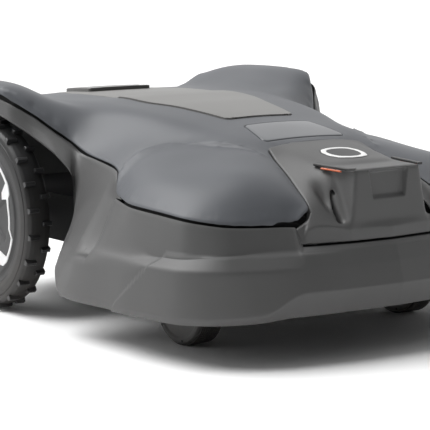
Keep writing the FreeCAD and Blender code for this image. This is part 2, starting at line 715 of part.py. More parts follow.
def cutting_disc():
    disc = rod(DISC_R, (0, CUT_Y, DISC_Z), (0, CUT_Y, DISC_Z + DISC_T))
    rim = pipe(DISC_R, DISC_R - 3, (0, CUT_Y, DISC_Z), (0, CUT_Y, DISC_Z + 7))
    hub = rod(16, (0, CUT_Y, DISC_Z - 2), (0, CUT_Y, HOUSING_Z - 1))
    disc = fuse([disc, rim, hub])
    for i in range(3):
        x, y, _ = ring_place(i)
        disc = disc.fuse(rod(4.5, (x, y, BLADE_Z + BLADE_T + 0.3), (x, y, DISC_Z)))
        disc = disc.cut(rod(SCREW_R, (x, y, 0), (x, y, 50)))
        a = ring_place(i)[2] + math.pi / 3
        slot_x = 55 * math.cos(a)
        slot_y = CUT_Y + 55 * math.sin(a)
        disc = disc.cut(rod(15, (slot_x, slot_y, 0), (slot_x, slot_y, 50)))
    return disc.cut(rod(CUT_SHAFT_R, (0, CUT_Y, 0), (0, CUT_Y, 60))).removeSplitter()


def blade(index):
    x, y, angle = ring_place(index)
    plate = box(-BLADE_WIDE / 2, BLADE_WIDE / 2, -7, BLADE_LONG, BLADE_Z, BLADE_Z + BLADE_T)
    plate = rounded(plate, 3, upright)
    plate = plate.cut(rod(SCREW_R + RUN, (0, 0, 0), (0, 0, 50)))
    plate.rotate(Vector(0, 0, 0), Vector(0, 0, 1), math.degrees(angle) - 90)
    plate.translate(Vector(x, y, 0))
    return plate


def disc_screws():
    screws = []
    for i in range(3):
        x, y, _ = ring_place(i)
        head = rod(SCREW_HEAD_R, (x, y, BLADE_Z - 3), (x, y, BLADE_Z - 0.3))
        shank = rod(SCREW_R, (x, y, BLADE_Z - 0.3), (x, y, DISC_Z + DISC_T))
        screws.append(head.fuse(shank).removeSplitter())
    screws.append(rod(9, (0, CUT_Y, SKID_Z - 2.5), (0, CUT_Y, SKID_Z - GAP)).fuse(
        rod(CUT_SHAFT_R - 1, (0, CUT_Y, SKID_Z - GAP), (0, CUT_Y, SKID_Z))
    ).removeSplitter())
    return Part.makeCompound(screws)


def skid_plate():
    dish = rod(SKID_R, (0, CUT_Y, SKID_Z), (0, CUT_Y, SKID_Z + 3))
    hub = rod(14, (0, CUT_Y, SKID_Z), (0, CUT_Y, DISC_Z - 2 - GAP))
    dish = fuse([dish, hub])
    for i in range(6):
        a = math.pi * i / 3
        hole_x = 48 * math.cos(a)
        hole_y = CUT_Y + 48 * math.sin(a)
        dish = dish.cut(rod(9, (hole_x, hole_y, 0), (hole_x, hole_y, 40)))
    return dish.cut(rod(CUT_SHAFT_R + RUN, (0, CUT_Y, 0), (0, CUT_Y, 60)))


# ---- wheels ----
def lug_row(x0, x1, phase):
    pitch = 2 * math.pi / LUGS
    base = TYRE_R - TREAD_DEPTH
    points = []
    for i in range(LUGS):
        a = pitch * (i + phase)
        half = pitch * LUG_SHARE / 2
        foot = half * 1.25
        for angle, radius in ((a - foot, base), (a - half, TYRE_R), (a + half, TYRE_R), (a + foot, base)):
            points.append((x0, AXLE_Y + radius * math.cos(angle), AXLE_Z + radius * math.sin(angle)))
    return Part.Face(polygon(points)).extrude(Vector(x1 - x0, 0, 0))


def placed(shape, side):
    return shape if side > 0 else mirrored(shape)


def axis_rod(radius, x0, x1):
    return rod(radius, (x0, AXLE_Y, AXLE_Z), (x1, AXLE_Y, AXLE_Z))


def tyre(side):
    x0 = TYRE_INNER_X
    middle = x0 + TYRE_WIDTH / 2
    x1 = x0 + TYRE_WIDTH
    body = lug_row(x0, middle, 0.0).fuse(lug_row(middle, x1, 0.5))
    body = body.cut(axis_rod(RIM_R, x0 - 1, x1 + 1))
    return placed(body, side)


def wheel_rim(side):
    x0 = TYRE_INNER_X + 2
    x1 = TYRE_INNER_X + TYRE_WIDTH - 3
    ring = axis_rod(RIM_R, x0, x1).cut(axis_rod(RIM_R - 5, x0 - 1, x1 + 1))
    web = axis_rod(RIM_R - 4, x0 + 12, x0 + 16)
    hub = axis_rod(24, x0, x0 + 24)
    rim = fuse([ring, web, hub])
    for i in range(6):
        a = math.pi * i / 3
        at = (AXLE_Y + 58 * math.cos(a), AXLE_Z + 58 * math.sin(a))
        rim = rim.cut(rod(16, (x0, at[0], at[1]), (x0 + 40, at[0], at[1])))
    return placed(rim.cut(axis_rod(SHAFT_R, x0 - 1, x0 + 40)), side)


COVER_X = TYRE_INNER_X + TYRE_WIDTH - COVER_DEPTH + 2


def wheel_cover(side):
    """The dished cap that closes the wheel's outer face."""
    profile = [(0, COVER_X), (COVER_R, COVER_X), (COVER_R, COVER_X + 3), (COVER_R - 6, COVER_X + 6)]
    profile += [(62, COVER_X + 5), (30, COVER_X + 7), (24, COVER_X + 11), (0, COVER_X + 11)]
    wire = polygon([(x, AXLE_Y + r, AXLE_Z) for r, x in profile])
    body = Part.Face(wire).revolve(Vector(0, AXLE_Y, AXLE_Z), Vector(1, 0, 0), 360)
    for inlay in inlay_plates():
        body = body.cut(inlay)
    return placed(body, side)


INLAYS = 5


def inlay_plates():
    """Angular bright plates let into the cover, each an open V."""
    plates = []
    for i in range(INLAYS):
        turn = 360.0 * i / INLAYS + 90
        arrow = [(30, 7), (58, 20), (84, 14), (84, 6), (60, 9), (36, 2)]
        outline = [(r, s) for r, s in arrow] + [(r, -s) for r, s in reversed(arrow)]
        wire = polygon([(COVER_X + 3.2, AXLE_Y + r, AXLE_Z + s) for r, s in outline])
        plate = Part.Face(wire).extrude(Vector(12, 0, 0))
        plate.rotate(Vector(0, AXLE_Y, AXLE_Z), Vector(1, 0, 0), turn)
        plates.append(plate)
    return plates


def wheel_inlay(side):
    limit = axis_rod(COVER_R - 4, COVER_X, COVER_X + 5.4)
    plates = [plate.common(limit) for plate in inlay_plates()]
    return placed(Part.makeCompound(plates), side)


def wheel_shaft(side):
    return placed(axis_rod(SHAFT_R, 150, COVER_X - 1), side)


def tread_band():
    axle_y = SWIVEL_Y + CASTOR_TRAIL
    x0 = CASTOR_X - TREAD_BAND / 2
    x1 = CASTOR_X + TREAD_BAND / 2
    return pipe(CASTOR_R, CASTOR_R - BAND_DEEP, (x0, axle_y, CASTOR_R), (x1, axle_y, CASTOR_R))


def castor_wheel(side):
    axle_y = SWIVEL_Y + CASTOR_TRAIL
    x0 = CASTOR_X - CASTOR_WIDTH / 2
    x1 = CASTOR_X + CASTOR_WIDTH / 2
    body = rod(CASTOR_R - 1.5, (x0, axle_y, CASTOR_R), (x1, axle_y, CASTOR_R))
    body = body.cut(tread_band())
    body = body.cut(rod(PIN_R + RUN, (x0 - 1, axle_y, CASTOR_R), (x1 + 1, axle_y, CASTOR_R)))
    return placed(body, side)


def castor_tyre(side):
    return placed(tread_band(), side)


def axle_pin():
    axle_y = SWIVEL_Y + CASTOR_TRAIL
    x0 = CASTOR_X - CASTOR_WIDTH / 2 - 5
    x1 = CASTOR_X + CASTOR_WIDTH / 2 + 5
    return rod(PIN_R, (x0, axle_y, CASTOR_R), (x1, axle_y, CASTOR_R))


def castor_fork(side):
    axle_y = SWIVEL_Y + CASTOR_TRAIL
    half = CASTOR_WIDTH / 2
    crown_z = 2 * CASTOR_R + 5
    crown = box(CASTOR_X - half - 5, CASTOR_X + half + 5, SWIVEL_Y - 14, axle_y + 10, crown_z, crown_z + 7)
    stem = rod(STEM_R, (CASTOR_X, SWIVEL_Y, crown_z), (CASTOR_X, SWIVEL_Y, TUB_TOP_Z + PLATE_T + 4))
    parts = [rounded(crown, 8, upright), stem]
    for s in (-1, 1):
        x = CASTOR_X + s * (half + 3)
        arm = box(x - 2, x + 2, axle_y - 11, axle_y + 9, CASTOR_R, crown_z + 2)
        eye = rod(10, (x - 2, axle_y, CASTOR_R), (x + 2, axle_y, CASTOR_R))
        parts += [arm, eye]
    fork = fuse(parts)
    return placed(fork.cut(axle_pin()), side)


def castor_pin(side):
    return placed(axle_pin(), side)


# ---- the floating mount of the shell ----
RING_Z = TUB_TOP_Z + PLATE_T + 3 + 0.3


def ring(z0):
    outer = box(-RING_HALF_X, RING_HALF_X, -RING_HALF_Y, RING_HALF_Y, z0, z0 + RING_T)
    window_x = RING_HALF_X - RING_BAR
    window_y = RING_HALF_Y - RING_BAR
    return rounded(outer, 8, upright).cut(box(-window_x, window_x, -window_y, window_y, z0 - 1, z0 + 10))


def float_frame():
    """Slides fore and aft on the rails of the chassis plate."""
    frame = ring(RING_Z)
    for s in (-1, 1):
        rail = box(-90, 90, s * 100 - 5, s * 100 + 5, RING_Z + RING_T, RING_Z + RING_T + 2)
        frame = frame.fuse(rail)
    return frame.removeSplitter()


CROSS_Z = RING_Z + RING_T + 2 + 0.3
POST_X = RING_HALF_X - RING_BAR / 2
POST_Y = RING_HALF_Y - RING_BAR / 2


def post_places():
    return [(sx * POST_X, sy * POST_Y) for sx in (-1, 1) for sy in (-1, 1)]


def cross_frame():
    """Slides sideways on the float frame and carries the sockets of the shell's posts."""
    frame = ring(CROSS_Z)
    top = CROSS_Z + RING_T
    for x, y in post_places():
        frame = frame.fuse(rod(SOCKET_R, (x, y, CROSS_Z), (x, y, top + SOCKET_TALL)))
        frame = frame.cut(rod(POST_R + RUN, (x, y, top), (x, y, top + SOCKET_TALL + 1)))
    return frame.removeSplitter()


def shell_posts():
    foot = CROSS_Z + RING_T
    posts = []
    for x, y in post_places():
        post = rod(POST_R, (x, y, foot), (x, y, 290))
        posts.append(post.common(under_deck(-DECK_WALL + 0.5)))
    return Part.makeCompound(posts)


PIECES = {
    "chassis_tub": chassis_tub,
    "chassis_plate": chassis_plate,
    "battery_pack": battery_pack,
    "battery_cover": battery_cover,
    "main_board": main_board,
    "height_motor": height_motor,
    "height_spindle": height_spindle,
    "charging_contacts": charging_contacts,
    "castor_bushes": castor_bushes,
    "motor_housing": motor_housing,
    "cutting_motor": cutting_motor,
    "cutter_shaft": cutter_shaft,
    "cutting_disc": cutting_disc,
    "disc_screws": disc_screws,
    "skid_plate": skid_plate,
    "float_frame": float_frame,
    "cross_frame": cross_frame,
    "shell_posts": shell_posts,
    "top_cover": top_cover,
    "body_skirt": body_skirt,
    "nose_cover": nose_cover,
    "snout_window": snout_window,
    "snout_ledges": snout_ledges,
    "marker_strips": marker_strips,
    "nose_emblem": nose_emblem,
    "name_plate": name_plate,
    "rear_body": rear_body,
    "rear_console": rear_console,
    "stop_button": stop_button,
    "hatch_lid": hatch_lid,
    "hinge_pins": hinge_pins,
    "control_tray": control_tray,
    "display_panel": display_panel,
    "jog_wheel": jog_wheel,
    "jog_key": jog_key,
}
SIDED = {
    "drive_motor": drive_motor,
    "tyre": tyre,
    "wheel_rim": wheel_rim,
    "wheel_cover": wheel_cover,
    "wheel_inlay": wheel_inlay,
    "wheel_shaft": wheel_shaft,
    "castor_fork": castor_fork,
    "castor_wheel": castor_wheel,
    "castor_tyre": castor_tyre,
    "castor_pin": castor_pin,
    "lamp_pod": lamp_pod,
}
SIDES = {"left": 1, "right": -1}


def write(name, shape):
    shape.exportStep("parts/" + name + ".step")
    b = shape.BoundBox
    print(f"{name:20s} solids {len(shape.Solids)} valid {shape.isValid()} {shape.Volume / 1000:8.1f} cm3 "
          f"x {b.XMin:7.1f} {b.XMax:7.1f} y {b.YMin:7.1f} {b.YMax:7.1f} z {b.ZMin:6.1f} {b.ZMax:6.1f}")


def main():
    os.makedirs("parts", exist_ok=True)
    for name, maker in PIECES.items():
        write(name, maker())
    for name, maker in SIDED.items():
        for side, sign in SIDES.items():
            write(name + "_" + side, maker(sign))
    for i in range(3):
        write("blade_" + "abc"[i], blade(i))


main()
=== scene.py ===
# %% [markdown]
# # A robotic lawn mower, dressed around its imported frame
# The frame holds every part of the machine at its real size. This file gives the parts their looks:
# the moulded body panels are rebuilt here as fine meshes with rolled edges, and every part gets a
# finish of its own. Lengths are written in millimetres and turned into metres where a mesh is made.

# %% Load the frame
import math

import bmesh
import bpy
import numpy as np
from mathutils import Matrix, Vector
from mathutils.geometry import delaunay_2d_cdt


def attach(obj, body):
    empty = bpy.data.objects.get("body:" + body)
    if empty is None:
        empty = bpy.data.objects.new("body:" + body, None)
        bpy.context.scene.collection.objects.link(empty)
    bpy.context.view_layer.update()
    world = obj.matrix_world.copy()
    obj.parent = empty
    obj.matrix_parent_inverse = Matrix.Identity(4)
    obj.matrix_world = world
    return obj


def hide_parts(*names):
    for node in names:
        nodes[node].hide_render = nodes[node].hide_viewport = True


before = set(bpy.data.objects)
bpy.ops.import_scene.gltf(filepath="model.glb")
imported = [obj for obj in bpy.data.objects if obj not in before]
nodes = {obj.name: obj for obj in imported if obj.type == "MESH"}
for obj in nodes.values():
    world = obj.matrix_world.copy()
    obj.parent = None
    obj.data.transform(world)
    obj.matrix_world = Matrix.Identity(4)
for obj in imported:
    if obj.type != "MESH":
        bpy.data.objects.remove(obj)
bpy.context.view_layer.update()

MM = 0.001

# %% [markdown]
# ## Light, floor and camera
# The machine is shown the way a catalogue shows it: a pale floor that runs into a pale background,
# a broad soft light from the machine's right and above, and a long lens low in front of its right
# corner. The long lens keeps the wheels and the nose in true proportion.

# %% Camera
AZIMUTH = math.radians(-35.9)
ELEVATION = math.radians(8.41)
CAMERA_PLACE = Vector((-1.5024, -2.0540, 0.5005))
LENS = 161.6


def add_camera():
    data = bpy.data.cameras.new("catalogue_camera")
    data.sensor_width = 36.0
    data.lens = LENS
    data.clip_end = 60.0
    camera = bpy.data.objects.new("catalogue_camera", data)
    bpy.context.scene.collection.objects.link(camera)
    back = Vector(
        (
            math.sin(AZIMUTH) * math.cos(ELEVATION),
            -math.cos(AZIMUTH) * math.cos(ELEVATION),
            math.sin(ELEVATION),
        )
    )
    camera.location = CAMERA_PLACE
    camera.rotation_mode = "QUATERNION"
    camera.rotation_quaternion = (-back).to_track_quat("-Z", "Y")
    bpy.context.scene.camera = camera
    return camera


camera = add_camera()
print("camera at", [round(v, 3) for v in camera.location])

# %% [markdown]
# The studio is a bright paper sweep behind the machine and a dim room in front of it. The world is a
# gradient between the two, so faces turned to the lens stay darker than faces turned up or away.

# %% Floor and lights
BACK_LIGHT = 0.95
FRONT_LIGHT = 0.10
FLOOR_REACH = 14.0


def add_world():
    world = bpy.data.worlds.new("pale_studio")
    bpy.context.scene.world = world
    world.use_nodes = True
    make, link = world.node_tree.nodes.new, world.node_tree.links.new
    sky = world.node_tree.nodes["Background"]
    place = make("ShaderNodeTexCoord")
    away = make("ShaderNodeVectorMath")
    away.operation = "DOT_PRODUCT"
    away.inputs[1].default_value = (math.sin(-AZIMUTH), math.cos(AZIMUTH), 0.25)
    link(place.outputs["Generated"], away.inputs[0])
    ramp = make("ShaderNodeMapRange")
    ramp.interpolation_type = "SMOOTHSTEP"
    ramp.inputs["From Min"].default_value = -0.15
    ramp.inputs["From Max"].default_value = 0.55
    ramp.inputs["To Min"].default_value = FRONT_LIGHT
    ramp.inputs["To Max"].default_value = BACK_LIGHT
    link(away.outputs["Value"], ramp.inputs["Value"])
    link(ramp.outputs["Result"], sky.inputs["Strength"])
    sky.inputs["Color"].default_value = (1, 1, 1, 1)
    return world


def add_floor():
    size = FLOOR_REACH
    mesh = bpy.data.meshes.new("studio_floor")
    corners = [(-size, -size, 0), (size, -size, 0), (size, size, 0), (-size, size, 0)]
    mesh.from_pydata(corners, [], [(0, 1, 2, 3)])
    floor = bpy.data.objects.new("studio_floor", mesh)
    bpy.context.scene.collection.objects.link(floor)
    material = bpy.data.materials.new("floor_paper")
    material.use_nodes = True
    surface = material.node_tree.nodes["Principled BSDF"]
    surface.inputs["Base Color"].default_value = (0.96, 0.96, 0.96, 1)
    surface.inputs["Roughness"].default_value = 0.9
    surface.inputs["Specular IOR Level"].default_value = 0.0
    mesh.materials.append(material)
    return floor


def add_area(name, place, target, size, power):
    data = bpy.data.lights.new(name, "AREA")
    data.shape = "RECTANGLE"
    data.size = size[0]
    data.size_y = size[1]
    data.energy = power
    lamp = bpy.data.objects.new(name, data)
    bpy.context.scene.collection.objects.link(lamp)
    lamp.location = place
    aim = Vector(target) - Vector(place)
    lamp.rotation_mode = "QUATERNION"
    lamp.rotation_quaternion = aim.to_track_quat("-Z", "Y")
    return lamp


def add_sun(name, toward, angle, power):
    data = bpy.data.lights.new(name, "SUN")
    data.angle = angle
    data.energy = power
    lamp = bpy.data.objects.new(name, data)
    bpy.context.scene.collection.objects.link(lamp)
    lamp.rotation_mode = "QUATERNION"
    lamp.rotation_quaternion = (-Vector(toward)).to_track_quat("-Z", "Y")
    return lamp


bpy.context.scene.view_settings.view_transform = "Standard"
world = add_world()
floor = add_floor()
add_sun("soft_overhead", (-0.40, 0.42, 0.9), math.radians(48), 3.15)
add_area("right_softbox", (-2.6, 0.9, 1.2), (0, 0, 0.15), (1.6, 1.2), 12)
print("world:", world.name, "floor:", floor.name, "lights:", len(bpy.data.lights))

# %% [markdown]
# ## Finishes
# Injection-moulded bodies are never one flat colour. The mould leaves a fine grain that scatters
# the highlight, and the sheen drifts slightly over a large panel.
# Two node groups make those effects once: one for grain and drift, one for dust that lies low on the
# machine. Each finish places them with its own numbers.

# %% Node groups
def group_sockets(group, inputs, outputs):
    for name, kind, value in inputs:
        made = group.interface.new_socket(name=name, in_out="INPUT", socket_type=kind)
        if value is not None:
            made.default_value = value
    for name, kind in outputs:
        group.interface.new_socket(name=name, in_out="OUTPUT", socket_type=kind)
    return group.nodes.new("NodeGroupInput"), group.nodes.new("NodeGroupOutput")


def moulded_grain_group():
    """Fine spark-eroded grain: a height for bump and a small drift of tone and gloss."""
    group = bpy.data.node_groups.new("moulded_grain", "ShaderNodeTree")
    inputs = [
        ("Grain Scale", "NodeSocketFloat", 1400.0),
        ("Drift Scale", "NodeSocketFloat", 7.0),
        ("Base", "NodeSocketColor", (0.1, 0.1, 0.1, 1)),
        ("Tone Drift", "NodeSocketFloat", 0.06),
        ("Roughness", "NodeSocketFloat", 0.5),
        ("Gloss Drift", "NodeSocketFloat", 0.06),
    ]
    outputs = [
        ("Color", "NodeSocketColor"),
        ("Roughness", "NodeSocketFloat"),
        ("Height", "NodeSocketFloat"),
    ]
    enter, leave = group_sockets(group, inputs, outputs)
    make, link = group.nodes.new, group.links.new
    place = make("ShaderNodeTexCoord")
    grain = make("ShaderNodeTexNoise")
    grain.inputs["Detail"].default_value = 3.0
    link(place.outputs["Object"], grain.inputs["Vector"])
    link(enter.outputs["Grain Scale"], grain.inputs["Scale"])
    drift = make("ShaderNodeTexNoise")
    drift.inputs["Detail"].default_value = 2.0
    link(place.outputs["Object"], drift.inputs["Vector"])
    link(enter.outputs["Drift Scale"], drift.inputs["Scale"])
    centred = make("ShaderNodeMath")
    centred.operation = "SUBTRACT"
    centred.inputs[1].default_value = 0.5
    link(drift.outputs["Fac"], centred.inputs[0])
    gloss = make("ShaderNodeMath")
    gloss.operation = "MULTIPLY_ADD"
    link(centred.outputs[0], gloss.inputs[0])
    link(enter.outputs["Gloss Drift"], gloss.inputs[1])
    link(enter.outputs["Roughness"], gloss.inputs[2])
    link(gloss.outputs[0], leave.inputs["Roughness"])
    tone = make("ShaderNodeMath")
    tone.operation = "MULTIPLY_ADD"
    tone.inputs[2].default_value = 1.0
    link(centred.outputs[0], tone.inputs[0])
    link(enter.outputs["Tone Drift"], tone.inputs[1])
    colour = make("ShaderNodeVectorMath")
    colour.operation = "SCALE"
    link(enter.outputs["Base"], colour.inputs[0])
    link(tone.outputs[0], colour.inputs["Scale"])
    link(colour.outputs[0], leave.inputs["Color"])
    link(grain.outputs["Fac"], leave.inputs["Height"])
    return group


def dust_group():
    """A mask for road dust: stronger low on the machine and in patches."""
    group = bpy.data.node_groups.new("ground_dust", "ShaderNodeTree")
    inputs = [
        ("Top", "NodeSocketFloat", 0.12),
        ("Amount", "NodeSocketFloat", 0.3),
        ("Patch Scale", "NodeSocketFloat", 60.0),
    ]
    enter, leave = group_sockets(group, inputs, [("Mask", "NodeSocketFloat")])
    make, link = group.nodes.new, group.links.new
    place = make("ShaderNodeTexCoord")
    split = make("ShaderNodeSeparateXYZ")
    link(place.outputs["Object"], split.inputs[0])
    height = make("ShaderNodeMath")
    height.operation = "DIVIDE"
    link(split.outputs["Z"], height.inputs[0])
    link(enter.outputs["Top"], height.inputs[1])
    low = make("ShaderNodeMath")
    low.operation = "SUBTRACT"
    low.use_clamp = True
    low.inputs[0].default_value = 1.0
    link(height.outputs[0], low.inputs[1])
    patch = make("ShaderNodeTexNoise")
    patch.inputs["Detail"].default_value = 5.0
    link(place.outputs["Object"], patch.inputs["Vector"])
    link(enter.outputs["Patch Scale"], patch.inputs["Scale"])
    both = make("ShaderNodeMath")
    both.operation = "MULTIPLY"
    link(low.outputs[0], both.inputs[0])
    link(patch.outputs["Fac"], both.inputs[1])
    amount = make("ShaderNodeMath")
    amount.operation = "MULTIPLY"
    link(both.outputs[0], amount.inputs[0])
    link(enter.outputs["Amount"], amount.inputs[1])
    link(amount.outputs[0], leave.inputs["Mask"])
    return group


MOULDED_GRAIN = moulded_grain_group()
GROUND_DUST = dust_group()
print("node groups:", [g.name for g in bpy.data.node_groups])

# %% [markdown]
# One maker turns a few numbers into a finish. Base colour and gloss come from the grain group, its
# height drives a very shallow bump, and dust is mixed over the colour where it is asked for. Rubber,
# plastic, lacquer and steel differ only in their numbers, which keeps the machine looking like one
# product. Values that are the same all over, such as metal and coat, sit on the shader itself.

# %% A maker for plastic, rubber and metal finishes
DUST_COLOUR = (0.19, 0.17, 0.15, 1)


def finish(name, base, roughness, grain=1400.0, bump=0.05, drift=0.08, metal=0.0, coat=0.0,
           specular=0.5, dust=0.0, dust_top=0.12, grain_depth=0.00004, anisotropy=0.0):
    """One finish: base colour, gloss, the depth of its grain and how much dust lies on it."""
    material = bpy.data.materials.new(name)
    material.use_nodes = True
    make, link = material.node_tree.nodes.new, material.node_tree.links.new
    surface = material.node_tree.nodes["Principled BSDF"]
    surface.inputs["Specular IOR Level"].default_value = specular
    surface.inputs["Metallic"].default_value = metal
    surface.inputs["Coat Weight"].default_value = coat
    surface.inputs["Anisotropic"].default_value = anisotropy
    mould = make("ShaderNodeGroup")
    mould.node_tree = MOULDED_GRAIN
    mould.inputs["Grain Scale"].default_value = grain
    mould.inputs["Base"].default_value = (*base, 1)
    mould.inputs["Tone Drift"].default_value = drift
    mould.inputs["Roughness"].default_value = roughness
    bumps = make("ShaderNodeBump")
    bumps.inputs["Strength"].default_value = bump
    bumps.inputs["Distance"].default_value = grain_depth
    link(mould.outputs["Height"], bumps.inputs["Height"])
    link(bumps.outputs["Normal"], surface.inputs["Normal"])
    link(mould.outputs["Roughness"], surface.inputs["Roughness"])
    if dust:
        film = make("ShaderNodeGroup")
        film.node_tree = GROUND_DUST
        film.inputs["Top"].default_value = dust_top
        film.inputs["Amount"].default_value = dust
        mix = make("ShaderNodeMix")
        mix.data_type = "RGBA"
        mix.inputs["B"].default_value = DUST_COLOUR
        link(film.outputs["Mask"], mix.inputs["Factor"])
        link(mould.outputs["Color"], mix.inputs["A"])
        link(mix.outputs["Result"], surface.inputs["Base Color"])
    else:
        link(mould.outputs["Color"], surface.inputs["Base Color"])
    return material


# %% [markdown]
# The machine's own finishes follow. The cover is a satin blue-grey, the nose and skirt a coarser
# neutral grey, the lid a warmer and lighter grey, and everything underneath is near black.

# %% The finishes
FINISH = {
    "cover": finish("cover_satin_grey", (0.092, 0.097, 0.107), 0.46, 1600, 0.35, 0.05, specular=0.4),
    "nose": finish("nose_textured_grey", (0.078, 0.078, 0.078), 0.48, 900, 0.8, 0.06),
    "skirt": finish("skirt_textured_grey", (0.078, 0.078, 0.078), 0.48, 900, 0.8, 0.06, dust=0.12),
    "lid": finish("lid_warm_light_grey", (0.175, 0.172, 0.166), 0.42, 1500, 0.35, 0.04),
    "plate": finish("plate_smooth_grey", (0.09, 0.095, 0.104), 0.3, 1600, 0.15, 0.03, coat=0.3),
    "button": finish("button_grey", (0.12, 0.118, 0.115), 0.4, 1500, 0.3, 0.04, coat=0.2),
    "mark": finish("mark_white", (0.78, 0.78, 0.77), 0.35, 1500, 0.1, 0.02),
    # Near-black painted shadow that rims the white ring mark.
    "mark_shadow_edge": finish("mark_painted_shadow_edge", (0.012, 0.012, 0.013), 0.4, 1500, 0.1, 0.02),
    "ledge": finish("ledge_dark_grey", (0.035, 0.034, 0.034), 0.45, 1200, 0.5, 0.05),
    "marker": finish("marker_orange_lens", (0.62, 0.14, 0.055), 0.28, 900, 0.2, 0.06, coat=0.6),
    "tray": finish("tray_black", (0.028, 0.028, 0.029), 0.5, 900, 0.6, 0.05),
    "display": finish("display_black_glass", (0.006, 0.007, 0.009), 0.12, 900, 0.02, 0.02, coat=1.0),
    "chassis": finish("chassis_black", (0.014, 0.014, 0.0145), 0.55, 700, 0.8, 0.1, dust=0.25),
    "castor": finish("castor_grey", (0.06, 0.06, 0.06), 0.5, 900, 0.6, 0.08, dust=0.35),
    "tread": finish("tread_rubber", (0.012, 0.012, 0.0125), 0.68, 500, 1.0, 0.12, dust=0.35),
    "tyre": finish("tyre_rubber", (0.010, 0.010, 0.0105), 0.5, 600, 0.8, 0.15, dust=0.3, dust_top=0.2),
    "wheel": finish("wheel_dark_grey", (0.045, 0.045, 0.046), 0.5, 900, 0.6, 0.06, dust=0.15),
    "silver": finish("silver_lacquer", (0.72, 0.72, 0.72), 0.36, 1800, 0.3, 0.04, metal=0.15, coat=0.3),
    "steel": finish("plain_steel", (0.5, 0.5, 0.5), 0.32, 2500, 0.4, 0.08, metal=1.0, anisotropy=0.4),
    "blade": finish("blade_steel", (0.58, 0.58, 0.59), 0.24, 2500, 0.4, 0.06, metal=1.0, anisotropy=0.5),
    "disc": finish("disc_black", (0.03, 0.03, 0.031), 0.5, 800, 0.6, 0.08, dust=0.3),
    "motor": finish("motor_zinc", (0.42, 0.42, 0.43), 0.35, 2000, 0.4, 0.06, metal=0.9),
    "battery": finish("battery_black", (0.02, 0.02, 0.021), 0.5, 900, 0.5, 0.06),
    "board": finish("board_green", (0.012, 0.075, 0.032), 0.35, 1500, 0.4, 0.15, coat=0.4),
    "brass": finish("plain_brass", (0.62, 0.44, 0.17), 0.32, 2200, 0.4, 0.08, metal=1.0),
    "lug": finish("tread_lug_rubber", (0.018, 0.018, 0.019), 0.38, 600, 0.6, 0.1, dust=0.2),
    "seam": finish("seam_shadow_black", (0.008, 0.008, 0.009), 0.7, 900, 0.3, 0.05),
}
print("finishes:", len(FINISH))

# %% [markdown]
# ## Smooth lines through a few chosen points
# The body's shape is set by a few character lines, each known at a few stations. Between stations
# a cubic that never overshoots its points keeps the panels fair. The same rule, written for whole
# arrays, gives a height for any point of the deck, so the mesh can be as fine as it needs to be.

# %% Fair curves
def fair_slopes(t, v):
    steps = np.diff(v, axis=1) / np.maximum(np.diff(t, axis=1), 1e-9)
    a, b = steps[:, :-1], steps[:, 1:]
    same = a * b > 0
    middle = np.where(same, 2 * a * b / np.where(same, a + b, 1.0), 0.0)
    return np.concatenate([steps[:, :1], middle, steps[:, -1:]], axis=1)


def fair_rows(t, v, at):
    """Each row of (t, v) is a line; returns its value at the matching entry of at."""
    t, v = np.atleast_2d(t), np.atleast_2d(v)
    at = np.clip(at, t[:, 0], t[:, -1])
    rows = np.arange(len(at))
    i = np.clip((t <= at[:, None]).sum(axis=1) - 1, 0, t.shape[1] - 2)
    m = fair_slopes(t, v)
    h = t[rows, i + 1] - t[rows, i]
    s = (at - t[rows, i]) / h
    return (
        (1 + 2 * s) * (1 - s) ** 2 * v[rows, i]
        + s * (1 - s) ** 2 * h * m[rows, i]
        + s * s * (3 - 2 * s) * v[rows, i + 1]
        + s * s * (s - 1) * h * m[rows, i + 1]
    )


def fair(t, v, at):
    """One line through (t, v), read at every value of at."""
    at = np.atleast_1d(np.asarray(at, float))
    shape = (len(at), len(t))
    return fair_rows(np.broadcast_to(t, shape), np.broadcast_to(v, shape), at)


def step(x):
    """Rises smoothly from 0 to 1 as x goes from 0 to 1."""
    x = np.clip(x, 0, 1)
    return x * x * (3 - 2 * x)


print("a fair line through 0, 1 and 4, read halfway:", fair([0, 1, 2], [0, 1, 4], [0.5, 1.5]).round(2))

# %% [markdown]
# The deck's own lines run from the nose to the tail: the shoulder beside the middle, a valley, the
# crest of the fender or lobe, the outer crease, the seam and the foot below it.

